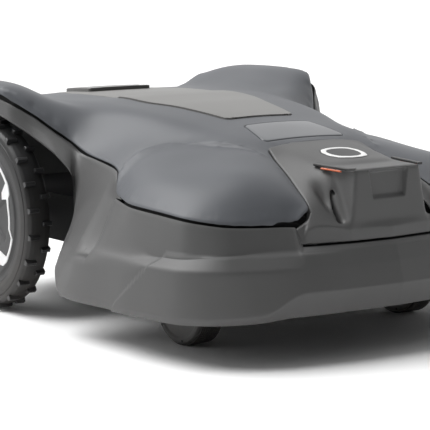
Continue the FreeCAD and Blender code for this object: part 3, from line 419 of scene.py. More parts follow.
# %% The deck's character lines
# y, height over the middle, then (x, z) of the shoulder, valley, crest, outer crease, seam, foot
DECK = [
    (-345, 150, (70, 150), (100, 148), (135, 140), (160, 130), (180, 125), (230, 110)),
    (-312, 180, (103, 181), (113, 173), (118, 167), (121, 163), (124, 160), (200, 140)),
    (-300, 190, (100, 187), (118, 190), (142, 184), (162, 171), (174, 163), (215, 145)),
    (-290, 197, (98, 191), (118, 198), (150, 194), (188, 179), (208, 165), (235, 146)),
    (-273, 205, (95, 200), (115, 208), (146, 208), (200, 189), (230, 168), (252, 146)),
    (-250, 215, (89, 210), (110, 217), (141, 219), (209, 197), (244, 171), (264, 146)),
    (-211, 230, (79, 225), (100, 229), (150, 223), (221, 201), (250, 174), (270, 146)),
    (-185, 240, (88, 235), (98, 235), (155, 224), (226, 203), (252, 175), (272, 146)),
    (-155, 248, (98, 245), (108, 239), (160, 226), (228, 204), (252, 176), (272, 148)),
    (-120, 256, (103, 250), (122, 239), (165, 230), (219, 207), (243, 179), (262, 152)),
    (-88, 261, (108, 255), (138, 237), (172, 229), (207, 212), (230, 182), (250, 156)),
    (-55, 266, (116, 261), (150, 241), (176, 227), (195, 214), (206, 207), (228, 175)),
    (-20, 270, (127, 266), (150, 247), (174, 229), (192, 217), (201, 212), (224, 182)),
    (20, 274, (134, 270), (152, 254), (172, 238), (190, 223), (200, 217), (224, 186)),
    (58, 276, (135, 273), (163, 261), (180, 248), (192, 238), (202, 230), (226, 196)),
    (80, 278, (136, 274), (158, 268), (182, 270), (203, 258), (217, 246), (238, 212)),
    (100, 279, (137, 275), (160, 271), (194, 277), (220, 270), (232, 262), (246, 225)),
    (126, 279, (137, 275), (165, 274), (212, 286), (240, 297), (249, 275), (256, 240)),
    (145, 279, (140, 275), (168, 276), (214, 294), (251, 302), (259, 285), (266, 252)),
    (200, 277, (150, 275), (172, 280), (206, 299), (249, 303), (261, 289), (268, 256)),
    (260, 274, (150, 273), (172, 279), (206, 299), (247, 302), (260, 289), (268, 256)),
    (310, 271, (142, 269), (166, 275), (200, 292), (238, 296), (253, 283), (262, 252)),
    (345, 262, (130, 260), (155, 265), (188, 276), (218, 276), (234, 264), (248, 236)),
]
DECK_Y = [s[0] for s in DECK]
LINE_COUNT = 6
SEAM_LINE = 4
LINE_BLUR = 11


def deck_line(index, y):
    across = fair(DECK_Y, [s[2 + index][0] for s in DECK], y)
    height = fair(DECK_Y, [s[2 + index][1] for s in DECK], y)
    return across, height


def blurred(values, reach):
    """A soft average along a line of evenly spaced values; the ends are held."""
    at = np.arange(-3 * reach, 3 * reach + 1)
    share = np.exp(-0.5 * (at / reach) ** 2)
    held = np.concatenate([np.full(3 * reach, values[0]), values, np.full(3 * reach, values[-1])])
    return np.convolve(held, share / share.sum(), "valid")


FINE_Y = np.arange(-345, 345.1, 1.0)
SOFT_LINES = []
for k in range(LINE_COUNT):
    line = deck_line(k, FINE_Y)
    SOFT_LINES.append(line if k >= SEAM_LINE else tuple(blurred(v, LINE_BLUR) for v in line))


def plain_deck(x, y):
    """Height of the deck over each plan point."""
    lines = [(np.interp(y, FINE_Y, wide), np.interp(y, FINE_Y, tall)) for wide, tall in SOFT_LINES]
    middle = fair(DECK_Y, [s[1] for s in DECK], y)
    t = [-a for a, _ in reversed(lines)] + [np.zeros_like(middle)] + [a for a, _ in lines]
    v = [h for _, h in reversed(lines)] + [middle] + [h for _, h in lines]
    return fair_rows(np.stack(t, axis=1), np.stack(v, axis=1), x)


print("deck height amidships:", round(float(plain_deck(np.array([0.0]), np.array([0.0]))[0]), 1), "mm")

# %% [markdown]
# ## Details pressed into the deck
# Over each front corner the cover swells into a leaf-shaped lobe. At its rear tip the lobe stands
# clear of the flank with a small hollow behind it, and the step dies away towards the nose. It is
# added to the plain deck as a rise that depends on the distance from the lobe's edge line.

# %% Distance to a line of points
def nearest_on_line(x, y, points):
    """Distance to an open line, the share of its length at the nearest spot, and the side."""
    px, py = np.array([p[0] for p in points], float), np.array([p[1] for p in points], float)
    run = np.concatenate([[0], np.cumsum(np.hypot(np.diff(px), np.diff(py)))])
    best = np.full(len(x), 1e9)
    share = np.zeros(len(x))
    side = np.zeros(len(x))
    for i in range(len(px) - 1):
        dx, dy = px[i + 1] - px[i], py[i + 1] - py[i]
        length2 = dx * dx + dy * dy
        s = np.clip(((x - px[i]) * dx + (y - py[i]) * dy) / length2, 0, 1)
        d = np.hypot(x - px[i] - s * dx, y - py[i] - s * dy)
        closer = d < best
        best = np.where(closer, d, best)
        share = np.where(closer, (run[i] + s * math.sqrt(length2)) / run[-1], share)
        turn = dx * (y - py[i]) - dy * (x - px[i])
        side = np.where(closer, np.sign(turn), side)
    return best, share, side


probe = nearest_on_line(np.array([1.0]), np.array([2.0]), [(0, 0), (4, 0)])
print("a point over a level line: distance", probe[0][0], "share", probe[1][0], "side", probe[2][0])


# %% The lobe's edge and its step
def fair_line(points, count):
    """Points spaced along a fair line through a few chosen ones."""
    points = np.array(points, float)
    run = np.concatenate([[0], np.cumsum(np.linalg.norm(np.diff(points, axis=0), axis=1))])
    at = np.linspace(0, run[-1], count)
    return np.stack([fair(run, points[:, k], at) for k in range(points.shape[1])], axis=1)


LOBE_PATH = [(90, -200), (96, -182), (106, -160), (118, -135),
             (134, -105), (160, -76), (196, -66), (226, -70)]
LOBE_EDGE = fair_line(LOBE_PATH, 40)
LOBE_STEP = 7.5
LOBE_FADE = 13.0
HOLLOW_FADE = 16.0
TIP_DROP = 6.5
LOBE_CREASES = []
for side in (1, -1):
    for off in (-1.4, -0.4, 0.6, 1.8, 3.2):
        along = np.gradient(LOBE_EDGE, axis=0)
        along /= np.linalg.norm(along, axis=1)[:, None]
        moved = LOBE_EDGE + np.stack([along[:, 1], -along[:, 0]], axis=1) * off
        LOBE_CREASES.append([(side * float(x), float(y)) for x, y in moved])


def lobe_detail(x, y):
    """What the lobe, the hollow behind it and the turned-down front tip add to the deck's height."""
    ax = np.abs(x)
    d, share, side = nearest_on_line(ax, y, LOBE_EDGE)
    inside = np.where(side > 0, -d, d)
    rise = LOBE_STEP * step((share - 0.3) / 0.45)
    lobe = rise * step((inside + 1.4) / 3.2) * np.exp(-(np.maximum(inside, 0) / LOBE_FADE) ** 2)
    hollow = rise * 0.45 * np.exp(-((inside + 1.5) / HOLLOW_FADE) ** 2)
    tip = TIP_DROP * np.exp(-(((ax - 132) / 17.0) ** 2) - ((y + 308) / 9.0) ** 2)
    return lobe - np.where(inside < 0, hollow, hollow * 0.6) - tip


print("lobe edge points:", len(LOBE_EDGE), "crease lines:", len(LOBE_CREASES))

# %% [markdown]
# The nose is a narrower deck of its own, so it has its own lines. They are needed for anything that
# lies on its top, such as the ring mark.

# %% The nose's character lines
# y, height over the middle, then (x, z) of the snout's shoulder, its foot, the seam, the foot
NOSE = [
    (-345, 146, (34, 146), (58, 146), (100, 146), (140, 112)),
    (-331, 160, (38, 159), (61, 157), (104, 154), (140, 118)),
    (-311, 200, (44, 198), (63, 184), (108, 176), (140, 140)),
    (-290, 225, (48, 223), (64, 208), (99, 190), (135, 165)),
    (-262, 229, (52, 226), (66, 219), (92, 204), (125, 185)),
    (-243, 232, (54, 229), (68, 223), (87, 212), (115, 200)),
    (-211, 237, (50, 235), (66, 231), (79, 225), (105, 215)),
    (-189, 240, (40, 239), (58, 238), (72, 236), (100, 229)),
    (-170, 244, (40, 243), (58, 242), (72, 241), (100, 234)),
]
NOSE_Y = [s[0] for s in NOSE]


def nose_height(x, y):
    lines = []
    for k in range(4):
        across = fair(NOSE_Y, [s[2 + k][0] for s in NOSE], y)
        height = fair(NOSE_Y, [s[2 + k][1] for s in NOSE], y)
        lines.append((across, height))
    middle = fair(NOSE_Y, [s[1] for s in NOSE], y)
    t = [-a for a, _ in reversed(lines)] + [np.zeros_like(middle)] + [a for a, _ in lines]
    v = [h for _, h in reversed(lines)] + [middle] + [h for _, h in lines]
    return fair_rows(np.stack(t, axis=1), np.stack(v, axis=1), x)


print("nose height at the mark:", round(float(nose_height(np.array([0.0]), np.array([-250.0]))[0]), 1), "mm")

# %% [markdown]
# ## Body panels cut from a height
# Each panel of the deck is an outline seen from above and the height of the surface over it. The
# mesh is made from rings of points that follow the outline, with an even grid inside them, joined
# by triangles. The rings roll the edge down like a moulded rim, and a wall hangs from the last one.

# %% Outlines
def both_sides(half):
    """A closed outline from its left half, listed from the nose to the tail."""
    return [tuple(p) for p in half] + [(-x, y) for x, y in reversed([tuple(p) for p in half])]


def round_outline(points, radius, spacing):
    """A closed outline with its corners rounded and points spread evenly along it."""
    points = [np.array(p, float) for p in points]
    smooth = []
    for i, corner in enumerate(points):
        before, after = points[i - 1], points[(i + 1) % len(points)]
        a, b = before - corner, after - corner
        la, lb = np.linalg.norm(a), np.linalg.norm(b)
        if la < 1e-6 or lb < 1e-6:
            continue
        reach = min(radius, 0.45 * la, 0.45 * lb)
        start, end = corner + a / la * reach, corner + b / lb * reach
        for s in np.linspace(0, 1, 6):
            smooth.append((1 - s) ** 2 * start + 2 * s * (1 - s) * corner + s * s * end)
    ring = np.array(smooth + smooth[:1])
    run = np.concatenate([[0], np.cumsum(np.linalg.norm(np.diff(ring, axis=0), axis=1))])
    keep = np.concatenate([[True], np.diff(run) > 1e-6])
    ring, run = ring[keep], run[keep]
    count = max(12, int(run[-1] / spacing))
    at = np.linspace(0, run[-1], count, endpoint=False)
    return np.stack([np.interp(at, run, ring[:, k]) for k in range(2)], axis=1)


def turned_ccw(ring):
    x, y = ring[:, 0], ring[:, 1]
    area = np.sum(x * np.roll(y, -1) - np.roll(x, -1) * y)
    return ring if area > 0 else ring[::-1]


def shrunk(ring, by):
    """The ring moved inward by a small distance (counter-clockwise rings)."""
    along = np.roll(ring, -1, axis=0) - np.roll(ring, 1, axis=0)
    along /= np.maximum(np.linalg.norm(along, axis=1), 1e-9)[:, None]
    inward = np.stack([-along[:, 1], along[:, 0]], axis=1)
    return ring + inward * by


def inside_ring(x, y, ring):
    """True for each point inside a closed ring."""
    result = np.zeros(len(x), bool)
    xj, yj = ring[-1]
    for xi, yi in ring:
        crosses = (yi > y) != (yj > y)
        at = (xj - xi) * (y - yi) / (yj - yi if yj != yi else 1e-9) + xi
        result ^= crosses & (x < at)
        xj, yj = xi, yi
    return result


square = round_outline([(0, 0), (10, 0), (10, 10), (0, 10)], 2.0, 1.0)
print("a rounded square of 10 mm has", len(square), "points")

# %% [markdown]
# Every piece is made the same way: a mesh in metres, one finish, smooth shading, a body to ride on,
# and the name of the plain part that it stands for.

# %% Pieces
def new_piece(name, verts, faces, finish_name, body, replaced=(), scale=MM):
    mesh = bpy.data.meshes.new(name)
    mesh.from_pydata([tuple(float(c) * scale for c in v) for v in verts], [], faces)
    mesh.validate()
    piece = bpy.data.objects.new(name, mesh)
    bpy.context.scene.collection.objects.link(piece)
    mesh.materials.append(FINISH[finish_name])
    mesh.polygons.foreach_set("use_smooth", [True] * len(mesh.polygons))
    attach(piece, body)
    if replaced:
        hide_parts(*replaced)
    return piece


# %% [markdown]
# A panel's rim is rolled in five small rings. Each ring says how far in it lies, how far it drops
# below the surface, and how thick the panel is there, so the edge ends thin and dark seams show.

# %% The rolled rim and the easing of a panel
ROLL = [(0.0, 1.3, 0.4), (0.25, 0.7, 1.0), (0.6, 0.3, 1.6), (1.1, 0.08, 2.4), (1.8, 0.0, 3.2)]


def eased(px, py, z, tri, rings, rounds):
    """Fairs the height inside a panel; the points near its rims stay where they are."""
    sides = np.concatenate([tri[:, [0, 1]], tri[:, [1, 2]], tri[:, [2, 0]]])
    pairs = np.unique(np.sort(sides, axis=1), axis=0)
    first, second = pairs.T
    count = np.bincount(first, minlength=len(z)) + np.bincount(second, minlength=len(z))
    edge = np.full(len(z), 1e9)
    for ring in rings:
        closed = [tuple(p) for p in ring[::2]] + [tuple(ring[0])]
        edge = np.minimum(edge, nearest_on_line(px, py, closed)[0])
    weight = 0.5 * step((edge - 2.0) / 12.0)
    for _ in range(rounds):
        total = np.bincount(first, z[second], len(z)) + np.bincount(second, z[first], len(z))
        z = z + weight * (total / np.maximum(count, 1) - z)
    return z


print("rim rings:", len(ROLL), "rim width:", ROLL[-1][0], "mm")


# %% The panel maker
def deck_panel(name, outline, holes, height, lift, wall, spacing, finish_name, replaced, corner=4.0,
               rounds=0, detail=None, creases=()):
    """A panel of the deck with rolled rims, an underside and walls all round."""
    outer = turned_ccw(round_outline(outline, corner, spacing * 0.8))
    inner = [turned_ccw(round_outline(h, corner, spacing * 0.8))[::-1] for h in holes]
    plan, drop, edges, rims = [], [], [], []
    for ring in [outer] + inner:
        for depth, (inset, fall, thick) in enumerate(ROLL):
            moved = shrunk(ring, inset)
            first = len(plan)
            plan += [tuple(p) for p in moved]
            drop += [(fall, min(thick, wall))] * len(moved)
            n = len(moved)
            edges += [(first + i, first + (i + 1) % n) for i in range(n)]
            if depth == 0:
                rims.append((first, n))
    lo, hi = outer.min(axis=0), outer.max(axis=0)
    gx = np.arange(lo[0], hi[0], spacing)
    gy = np.arange(lo[1], hi[1], spacing * 0.866)
    xx, yy = np.meshgrid(gx, gy)
    xx = xx + (np.arange(len(gy)) % 2)[:, None] * spacing / 2
    x, y = xx.ravel(), yy.ravel()
    keep = inside_ring(x, y, shrunk(outer, ROLL[-1][0] + spacing * 0.55))
    for line in creases:
        keep &= nearest_on_line(x, y, line)[0] > spacing * 0.5
    for ring in inner:
        keep &= ~inside_ring(x, y, shrunk(ring, ROLL[-1][0] + spacing * 0.55))
    plan += list(zip(x[keep], y[keep]))
    drop += [(0.0, wall)] * int(keep.sum())
    for line in creases:
        plan += [p for p in line if inside_ring(np.array([p[0]]), np.array([p[1]]), shrunk(outer, 4.0))[0]]
        drop += [(0.0, wall)] * (len(plan) - len(drop))
    points = [Vector(p) for p in plan]
    out, _, faces, origin, _, _ = delaunay_2d_cdt(points, edges, [], 0, 1e-6)
    px = np.array([p[0] for p in out])
    py = np.array([p[1] for p in out])
    fall = np.array([drop[o[0]][0] if o else 0.0 for o in origin])
    thick = np.array([drop[o[0]][1] if o else wall for o in origin])
    tri = np.array([f for f in faces if len(f) == 3])
    cx, cy = px[tri].mean(axis=1), py[tri].mean(axis=1)
    good = inside_ring(cx, cy, outer)
    for ring in inner:
        good &= ~inside_ring(cx, cy, ring)
    tri = tri[good]
    top = height(px, py) + lift
    if rounds:
        top = eased(px, py, top, tri, [outer] + inner, rounds)
    if detail:
        top = top + detail(px, py)
    verts = np.stack([px, py, top - fall], axis=1)
    count = len(verts)
    under = np.stack([px, py, top - fall - thick], axis=1)
    both = np.concatenate([verts, under])
    all_faces = [tuple(int(i) for i in t) for t in tri]
    all_faces += [tuple(int(i) + count for i in t[::-1]) for t in tri]
    where = {o[0]: i for i, o in enumerate(origin) if o}
    walls = []
    for first, n in rims:
        for i in range(n):
            a, b = where[first + i], where[first + (i + 1) % n]
            walls.append((a, a + count, b + count, b))
    piece = new_piece(name, both, all_faces + walls, finish_name, "shell", replaced)
    piece.data.set_sharp_from_angle(angle=math.radians(50))
    print(name, "triangles:", len(tri), "bounds", [round(v, 1) for v in verts.max(axis=0)])
    return piece


# %% [markdown]
# The openings are drawn as half plans. The lid and console share their joint line, the plate lies in
# front of them, and the nose has its own plan that the cover is notched to fit.

# %% Plans of the openings
NOSE_PLAN = [(101, -360), (103, -311), (95, -273), (87, -243), (79, -211), (72, -191), (40, -186)]
LID_PLAN = [(46, -78), (54, -74), (70, 3), (84, 47), (87, 70), (87, 122)]
CONSOLE_PLAN = [(87, 125), (87, 200), (84, 244), (70, 328)]
PLATE_PLAN = [(60, -171), (64, -166), (52, -114), (47, -111)]
SEAM = 1.8
PLATE_SEAM = 0.8


def widened(half, by):
    first, last = half[0][1], half[-1][1]
    return [(x + by, y + (-by if y == first else by if y == last else 0)) for x, y in half]


# %% The top cover
def cover_outline():
    ys = np.concatenate([[-312, -310, -307, -303, -298], np.arange(-292, 333, 8.0), [332]])
    across, _ = deck_line(SEAM_LINE, ys)
    half = [(float(a) - SEAM, float(y)) for a, y in zip(across, ys)]
    return both_sides(half)


cover_holes = [both_sides(widened(p, SEAM)) for p in (LID_PLAN, CONSOLE_PLAN)]
cover_holes.append(both_sides(widened(PLATE_PLAN, PLATE_SEAM)))
print("openings in the cover:", len(cover_holes))


def cover_with_nose_opening():
    """The cover's outline with the nose's opening taken out of its front."""
    half = cover_outline()
    half = half[: len(half) // 2]
    inner = [(x + SEAM, y) for x, y in NOSE_PLAN if y > -350]
    notch = [(x, y + (SEAM if i == len(inner) - 1 else 0)) for i, (x, y) in enumerate(inner)]
    return both_sides(list(reversed(notch)) + half)


# %% [markdown]
# The cover is the one large panel, so it is meshed finest and eased most. The lid, the console and
# the plate are cut from the same height, which keeps them flush with it.

# %% Cover, lid, console and plate
deck_panel(
    "top_cover_skin", cover_with_nose_opening(), cover_holes, plain_deck, 0.0, 4.0, 3.0, "cover",
    ["top_cover"], rounds=60, detail=lobe_detail, creases=LOBE_CREASES,
)
hatch_lid = deck_panel(
    "hatch_lid_skin", both_sides(LID_PLAN), [], plain_deck, 0.3, 2.0, 3.6, "lid", [], 6.0,
)
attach(hatch_lid, "lid")
deck_panel(
    "rear_console_skin", both_sides(CONSOLE_PLAN), [], plain_deck, 0.3, 4.0, 3.6, "lid",
    ["rear_console"],
)
deck_panel(
    "name_plate_skin", both_sides(PLATE_PLAN), [], plain_deck, 0.4, 2.0, 3.0, "plate",
    ["name_plate"],
)

# %% [markdown]
# ## The skirt and bumper
# The skirt is one moulding that runs round the nose and ends over the drive wheels. Five lines
# follow it round, from the seam under the cover to the lower edge. The mesh is a band of fine rows
# between those lines, with every chamfer rounded, then pushed in or out where the flank has its
# scoop, its ridge and its raised bumper panel.

# %% The skirt's lines
SKIRT = [
    ((0, -340, 137), (0, -346, 131), (0, -353, 113), (0, -360, 86), (0, -351, 58)),
    ((62, -336, 137), (63, -342, 131), (64, -349, 113), (65, -356, 86), (64, -347, 58)),
    ((124, -324, 137), (128, -332, 131), (131, -340, 113), (134, -347, 86), (131, -338, 58)),
    ((128, -313, 160), (133, -325, 134), (141, -338, 113), (146, -344, 84), (144, -336, 58)),
    ((174, -301, 162), (178, -311, 133), (184, -328, 113), (188, -335, 64), (185, -330, 56)),
    ((209, -291, 164), (213, -301, 131), (221, -313, 113), (225, -316, 61), (221, -312, 54)),
    ((231, -273, 167), (237, -280, 127), (248, -288, 113), (252, -291, 60), (248, -288, 53)),
    ((245, -250, 170), (251, -255, 124), (262, -261, 113), (266, -262, 60), (262, -261, 52)),
    ((251, -211, 173), (258, -213, 123), (270, -217, 113), (274, -218, 60), (270, -217, 52)),
    ((253, -163, 175), (262, -164, 122), (275, -165, 112), (279, -165, 60), (275, -165, 51)),
    ((244, -120, 178), (261, -115, 122), (275, -112, 111), (280, -110, 60), (276, -110, 51)),
    ((231, -85, 181), (252, -74, 127), (272, -67, 107), (279, -62, 60), (275, -62, 51)),
    ((207, -55, 206), (238, -42, 142), (262, -34, 103), (275, -30, 60), (271, -30, 51)),
    ((202, -22, 211), (226, -6, 145), (250, 0, 108), (267, -10, 74), (263, -10, 68)),
    ((201, 8, 215), (218, 16, 155), (227, 20, 126), (240, 19, 107), (236, 20, 105)),
    ((201, 38, 219), (213, 30, 192), (217, 26, 168), (221, 23, 140), (218, 24, 135)),
    ((204, 60, 230), (212, 43, 214), (216, 36, 203), (220, 28, 188), (218, 29, 184)),
    ((218, 80, 245), (221, 70, 234), (224, 62, 226), (227, 52, 214), (225, 53, 211)),
    ((234, 101, 262), (236, 98, 251), (238, 95, 245), (240, 92, 237), (237, 93, 234)),
    ((255, 130, 279), (257, 129, 268), (258, 128, 263), (258, 127, 258), (255, 128, 255)),
    ((261, 165, 286), (262, 165, 276), (262, 165, 271), (262, 165, 266), (258, 165, 263)),
    ((261, 230, 287), (262, 230, 277), (262, 230, 272), (262, 230, 267), (258, 230, 264)),
    ((256, 300, 283), (258, 300, 274), (258, 300, 270), (258, 300, 265), (254, 300, 262)),
]


print("stations round half the skirt:", len(SKIRT))

# %% [markdown]
# Between its five lines the skirt is nearly flat. Where two bands meet, the corner is replaced by a
# short arc: tight round the nose, where the bumper has crisp chamfers, and wide on the flank, where
# the moulding flows.

# %% A grid over half the skirt
def skirt_half(per_mm=0.6):
    """A grid of points [along, down, xyz] for the left half of the skirt."""
    lines = np.array(SKIRT, float)
    run = np.concatenate([[0], np.cumsum(np.linalg.norm(np.diff(lines[:, 2], axis=0), axis=1))])
    run += np.concatenate([[0], np.cumsum(np.linalg.norm(np.diff(lines[:, 0], axis=0), axis=1))])
    along = np.linspace(0, run[-1], int(run[-1] / 2 * per_mm))
    smooth = np.stack(
        [[fair(run, lines[:, k, c], along) for c in range(3)] for k in range(5)], axis=0
    ).transpose(2, 0, 1)
    rows = []
    for k in range(5):
        here = smooth[:, k]
        if k in (0, 4):
            rows.append(here[:, None])
            continue
        up, down = smooth[:, k - 1] - here, smooth[:, k + 1] - here
        lu = np.linalg.norm(up, axis=1)[:, None]
        ld = np.linalg.norm(down, axis=1)[:, None]
        tight, wide = {1: (1.4, 30.0), 2: (3.0, 26.0), 3: (2.0, 3.0)}[k]
        flank = step((here[:, 1] + 215) / 60)[:, None]
        radius = tight + (wide - tight) * flank
        a = here + up / np.maximum(lu, 1e-6) * np.minimum(radius, 0.45 * lu)
        b = here + down / np.maximum(ld, 1e-6) * np.minimum(radius, 0.45 * ld)
        arc = [(1 - s) ** 2 * a + 2 * s * (1 - s) * here + s * s * b for s in np.linspace(0, 1, 6)]
        rows.append(np.stack(arc, axis=1))
    full = []
    counts = (14, 6, 12, 4)
    for k in range(4):
        start, end = rows[k][:, -1], rows[k + 1][:, 0]
        full.append(rows[k])
        inner = np.linspace(0, 1, counts[k] + 2)[1:-1]
        full.append(np.stack([start + (end - start) * s for s in inner], axis=1))
    full.append(rows[4])
    return np.concatenate(full, axis=1)


print("skirt grid:", skirt_half().shape)

# %% [markdown]
# The flank is then pressed in and out along its normals: a scoop in front of the wheel arch with a
# crisp front edge, a ridge that closes it below, and a bumper panel that stands a little proud.

# %% The flank's scoop and ridge and the bumper's raised panel
SCOOP_DEPTH = 11.0
RIDGE_HEIGHT = 3.4
PANEL_RISE = 2.0


def grid_normals(grid):
    du = np.gradient(grid, axis=0)
    dv = np.gradient(grid, axis=1)
    n = np.cross(du, dv)
    return n / np.maximum(np.linalg.norm(n, axis=2), 1e-9)[:, :, None]


def skirt_details(grid):
    """How far each point of the skirt is pushed out along its normal, in millimetres."""
    y, z = grid[:, :, 1], grid[:, :, 2]
    line_y = -101 + (203 - z) * (9 / 96)
    behind = y - line_y
    depth = SCOOP_DEPTH * step(behind / 6.0) * (1 - step((behind - 14) / 40.0))
    window = step((z - 107) / 5.0) * step((200 - z) / 26.0)
    scoop = -depth * window
    ridge = RIDGE_HEIGHT * step((107 - z) / 4.0) * step((y + 150) / 90.0) * (1 - step((y + 4) / 10))
    slant = -232 + (127 - z) * (72 / 65)
    raised = PANEL_RISE * step((slant - y) / 1.6) * step((131 - z) / 3.0) * step((grid[:, :, 0] - 60) / 60)
    return scoop + ridge + raised


print("scoop", SCOOP_DEPTH, "mm, ridge", RIDGE_HEIGHT, "mm, panel", PANEL_RISE, "mm")

# %% [markdown]
# The grid becomes a closed band: the outer face, an inner face one wall behind it, and a dark flange
# that reaches in under the cover. The flange is what the seam shows, so it gets the shadow finish.

# %% The skirt as one mesh
SKIRT_WALL = 3.5


def skirt_mesh():
    """Points, faces and the indices of the dark flange's faces, in millimetres."""
    half = skirt_half()
    normals = grid_normals(half)
    if normals[len(half) // 3, half.shape[1] // 2, 0] < 0:
        normals = -normals
    half = half + normals * skirt_details(half)[:, :, None]
    drop = np.zeros(half.shape[1])
    drop[0], drop[1] = 0.9, 0.25
    half = half - normals * drop[None, :, None]
    sunk = np.clip(1 - np.arange(half.shape[1]) / 9, 0, 1)
    gap = 0.5 + 1.4 * step((half[:, 0, 0] - 122) / 8)
    half[:, :, 2] -= sunk[None, :] * gap[:, None]
    outward = grid_outward(half)
    inner = half - outward * SKIRT_WALL
    lip = half[:, :1] - outward[:, :1] * 2.4 - np.array([0, 0, 5.5])
    ledge = half[:, :1] - outward[:, :1] * 8.0 - np.array([0, 0, 6.5])
    riser = half[:, :1] - outward[:, :1] * 11.0 + np.array([0, 0, 3.0])
    back = riser - outward[:, :1] * 1.5
    under = ledge - np.array([0, 0, 2.5])
    inner[:, 0] -= np.array([0, 0, 9.5])
    left = np.concatenate([half, inner[:, ::-1], under, back, riser, ledge, lip], axis=1)
    right = left[1:].copy()
    right[:, :, 0] *= -1
    band = np.concatenate([right[::-1], left], axis=0)
    n, m = band.shape[:2]
    verts = band.reshape(-1, 3)
    faces = []
    for i in range(n - 1):
        for j in range(m):
            k = (j + 1) % m
            faces.append((i * m + j, (i + 1) * m + j, (i + 1) * m + k, i * m + k))
    dark = [k for k in range(len(faces)) if k % m >= m - 6]
    faces.append(tuple(range(m)))
    faces.append(tuple((n - 1) * m + j for j in reversed(range(m))))
    return verts, faces, dark


def grid_outward(grid):
    """Level outward directions, for the wall's inner face."""
    along = np.gradient(grid[:, 8], axis=0)
    out = np.stack([-along[:, 1], along[:, 0], np.zeros(len(along))], axis=1)
    out /= np.maximum(np.linalg.norm(out, axis=1), 1e-9)[:, None]
    if out[2, 1] > 0:
        out = -out
    return np.broadcast_to(out[:, None, :], grid.shape)


verts, faces, dark_faces = skirt_mesh()
skirt = new_piece("body_skirt_skin", verts, faces, "skirt", "shell", ["body_skirt"])
skirt.data.set_sharp_from_angle(angle=math.radians(50))
skirt.data.materials.append(FINISH["seam"])
for index in dark_faces:
    skirt.data.polygons[index].material_index = 1
print("skirt points:", len(verts))

# %% [markdown]
# ## The nose
# The nose cover and its snout are one moulding whose edges melt into each other. The plain solids
# are merged into one even skin, the skin is relaxed until its edges are round, and its outline is
# kept sharp so that the seams stay narrow. The shallow window recess is pressed in afterwards.

# %% Merging and relaxing solids
def points_of(mesh):
    flat = np.empty(len(mesh.vertices) * 3)
    mesh.vertices.foreach_get("co", flat)
    return flat.reshape(-1, 3)


def relaxed(mesh, weight, rounds):
    """Each point moves towards the middle of its neighbours, rounding the edges."""
    points = points_of(mesh)
    pairs = np.empty(len(mesh.edges) * 2, int)
    mesh.edges.foreach_get("vertices", pairs)
    first, second = pairs.reshape(-1, 2).T
    count = np.bincount(first, minlength=len(points)) + np.bincount(second, minlength=len(points))
    for _ in range(rounds):
        total = np.empty_like(points)
        for axis in range(3):
            total[:, axis] = np.bincount(first, points[second, axis], len(points))
            total[:, axis] += np.bincount(second, points[first, axis], len(points))
        points += weight[:, None] * (total / count[:, None] - points)
    mesh.vertices.foreach_set("co", points.ravel())
    return points


def merged(name, sources, voxel):
    """One even skin round several solids; each source is a node or (points, faces) in mm."""
    mesh = bpy.data.meshes.new(name)
    body = bmesh.new()
    for source in sources:
        if isinstance(source, tuple):
            made = [body.verts.new([c * MM for c in v]) for v in source[0]]
            for face in source[1]:
                body.faces.new([made[i] for i in face])
        else:
            copy = source.data.copy()
            copy.transform(source.matrix_world)
            body.from_mesh(copy)
    body.to_mesh(mesh)
    body.free()
    holder = bpy.data.objects.new(name, mesh)
    bpy.context.scene.collection.objects.link(holder)
    remesh = holder.modifiers.new("even", "REMESH")
    remesh.mode = "VOXEL"
    remesh.voxel_size = voxel * MM
    graph = bpy.context.evaluated_depsgraph_get()
    skin = bpy.data.meshes.new_from_object(holder.evaluated_get(graph))
    holder.modifiers.clear()
    holder.data = skin
    skin.name = name
    return holder


def settle(piece, finish_name, body, replaced, angle=60):
    piece.data.materials.clear()
    piece.data.materials.append(FINISH[finish_name])
    piece.data.polygons.foreach_set("use_smooth", [True] * len(piece.data.polygons))
    piece.data.set_sharp_from_angle(angle=math.radians(angle))
    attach(piece, body)
    if replaced:
        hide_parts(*replaced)
    return piece


def frustum(low, high):
    """A solid between two matching closed rings."""
    n = len(low)
    faces = [tuple(reversed(range(n))), tuple(range(n, 2 * n))]
    faces += [(i, (i + 1) % n, n + (i + 1) % n, n + i) for i in range(n)]
    return list(low) + list(high), faces


def side_solid(low, high, side):
    """A solid on the left, or its mirror image on the right."""
    low, high = ([(side * x, y, z) for x, y, z in ring] for ring in (low, high))
    return frustum(low, high) if side > 0 else frustum(low[::-1], high[::-1])


box_points, box_faces = frustum([(0, 0, 0), (1, 0, 0), (1, 1, 0)], [(0, 0, 1), (1, 0, 1), (1, 1, 1)])
print("a wedge has", len(box_points), "points and", len(box_faces), "faces")

# %% [markdown]
# Three plain solids join the nose cover before it is merged: the snout's core, a web at each side of
# the snout that carries the lamp ledge, and a foot at each side that reaches under the cover's tip.

# %% The nose cover
SNOUT_LOW = [(-61, -335, 150), (61, -335, 150), (63, -262, 150), (-63, -262, 150)]
SNOUT_HIGH = [(-50, -330, 222), (50, -330, 222), (58, -262, 222), (-58, -262, 222)]
WEB_LOW = [(54, -329, 148), (68, -329, 148), (68, -282, 176), (54, -282, 176)]
WEB_HIGH = [(54, -329, 162), (66, -329, 158), (64, -282, 212), (54, -282, 214)]
FOOT_LOW = [(104, -325, 137), (127, -322, 139), (127, -312, 139), (104, -312, 137)]
FOOT_HIGH = [(104, -317, 168), (127, -315, 156), (127, -310, 156), (104, -310, 168)]
NOSE_VOXEL = 1.25
RECESS_DEPTH = 4.6
POCKET_DEPTH = 10.0


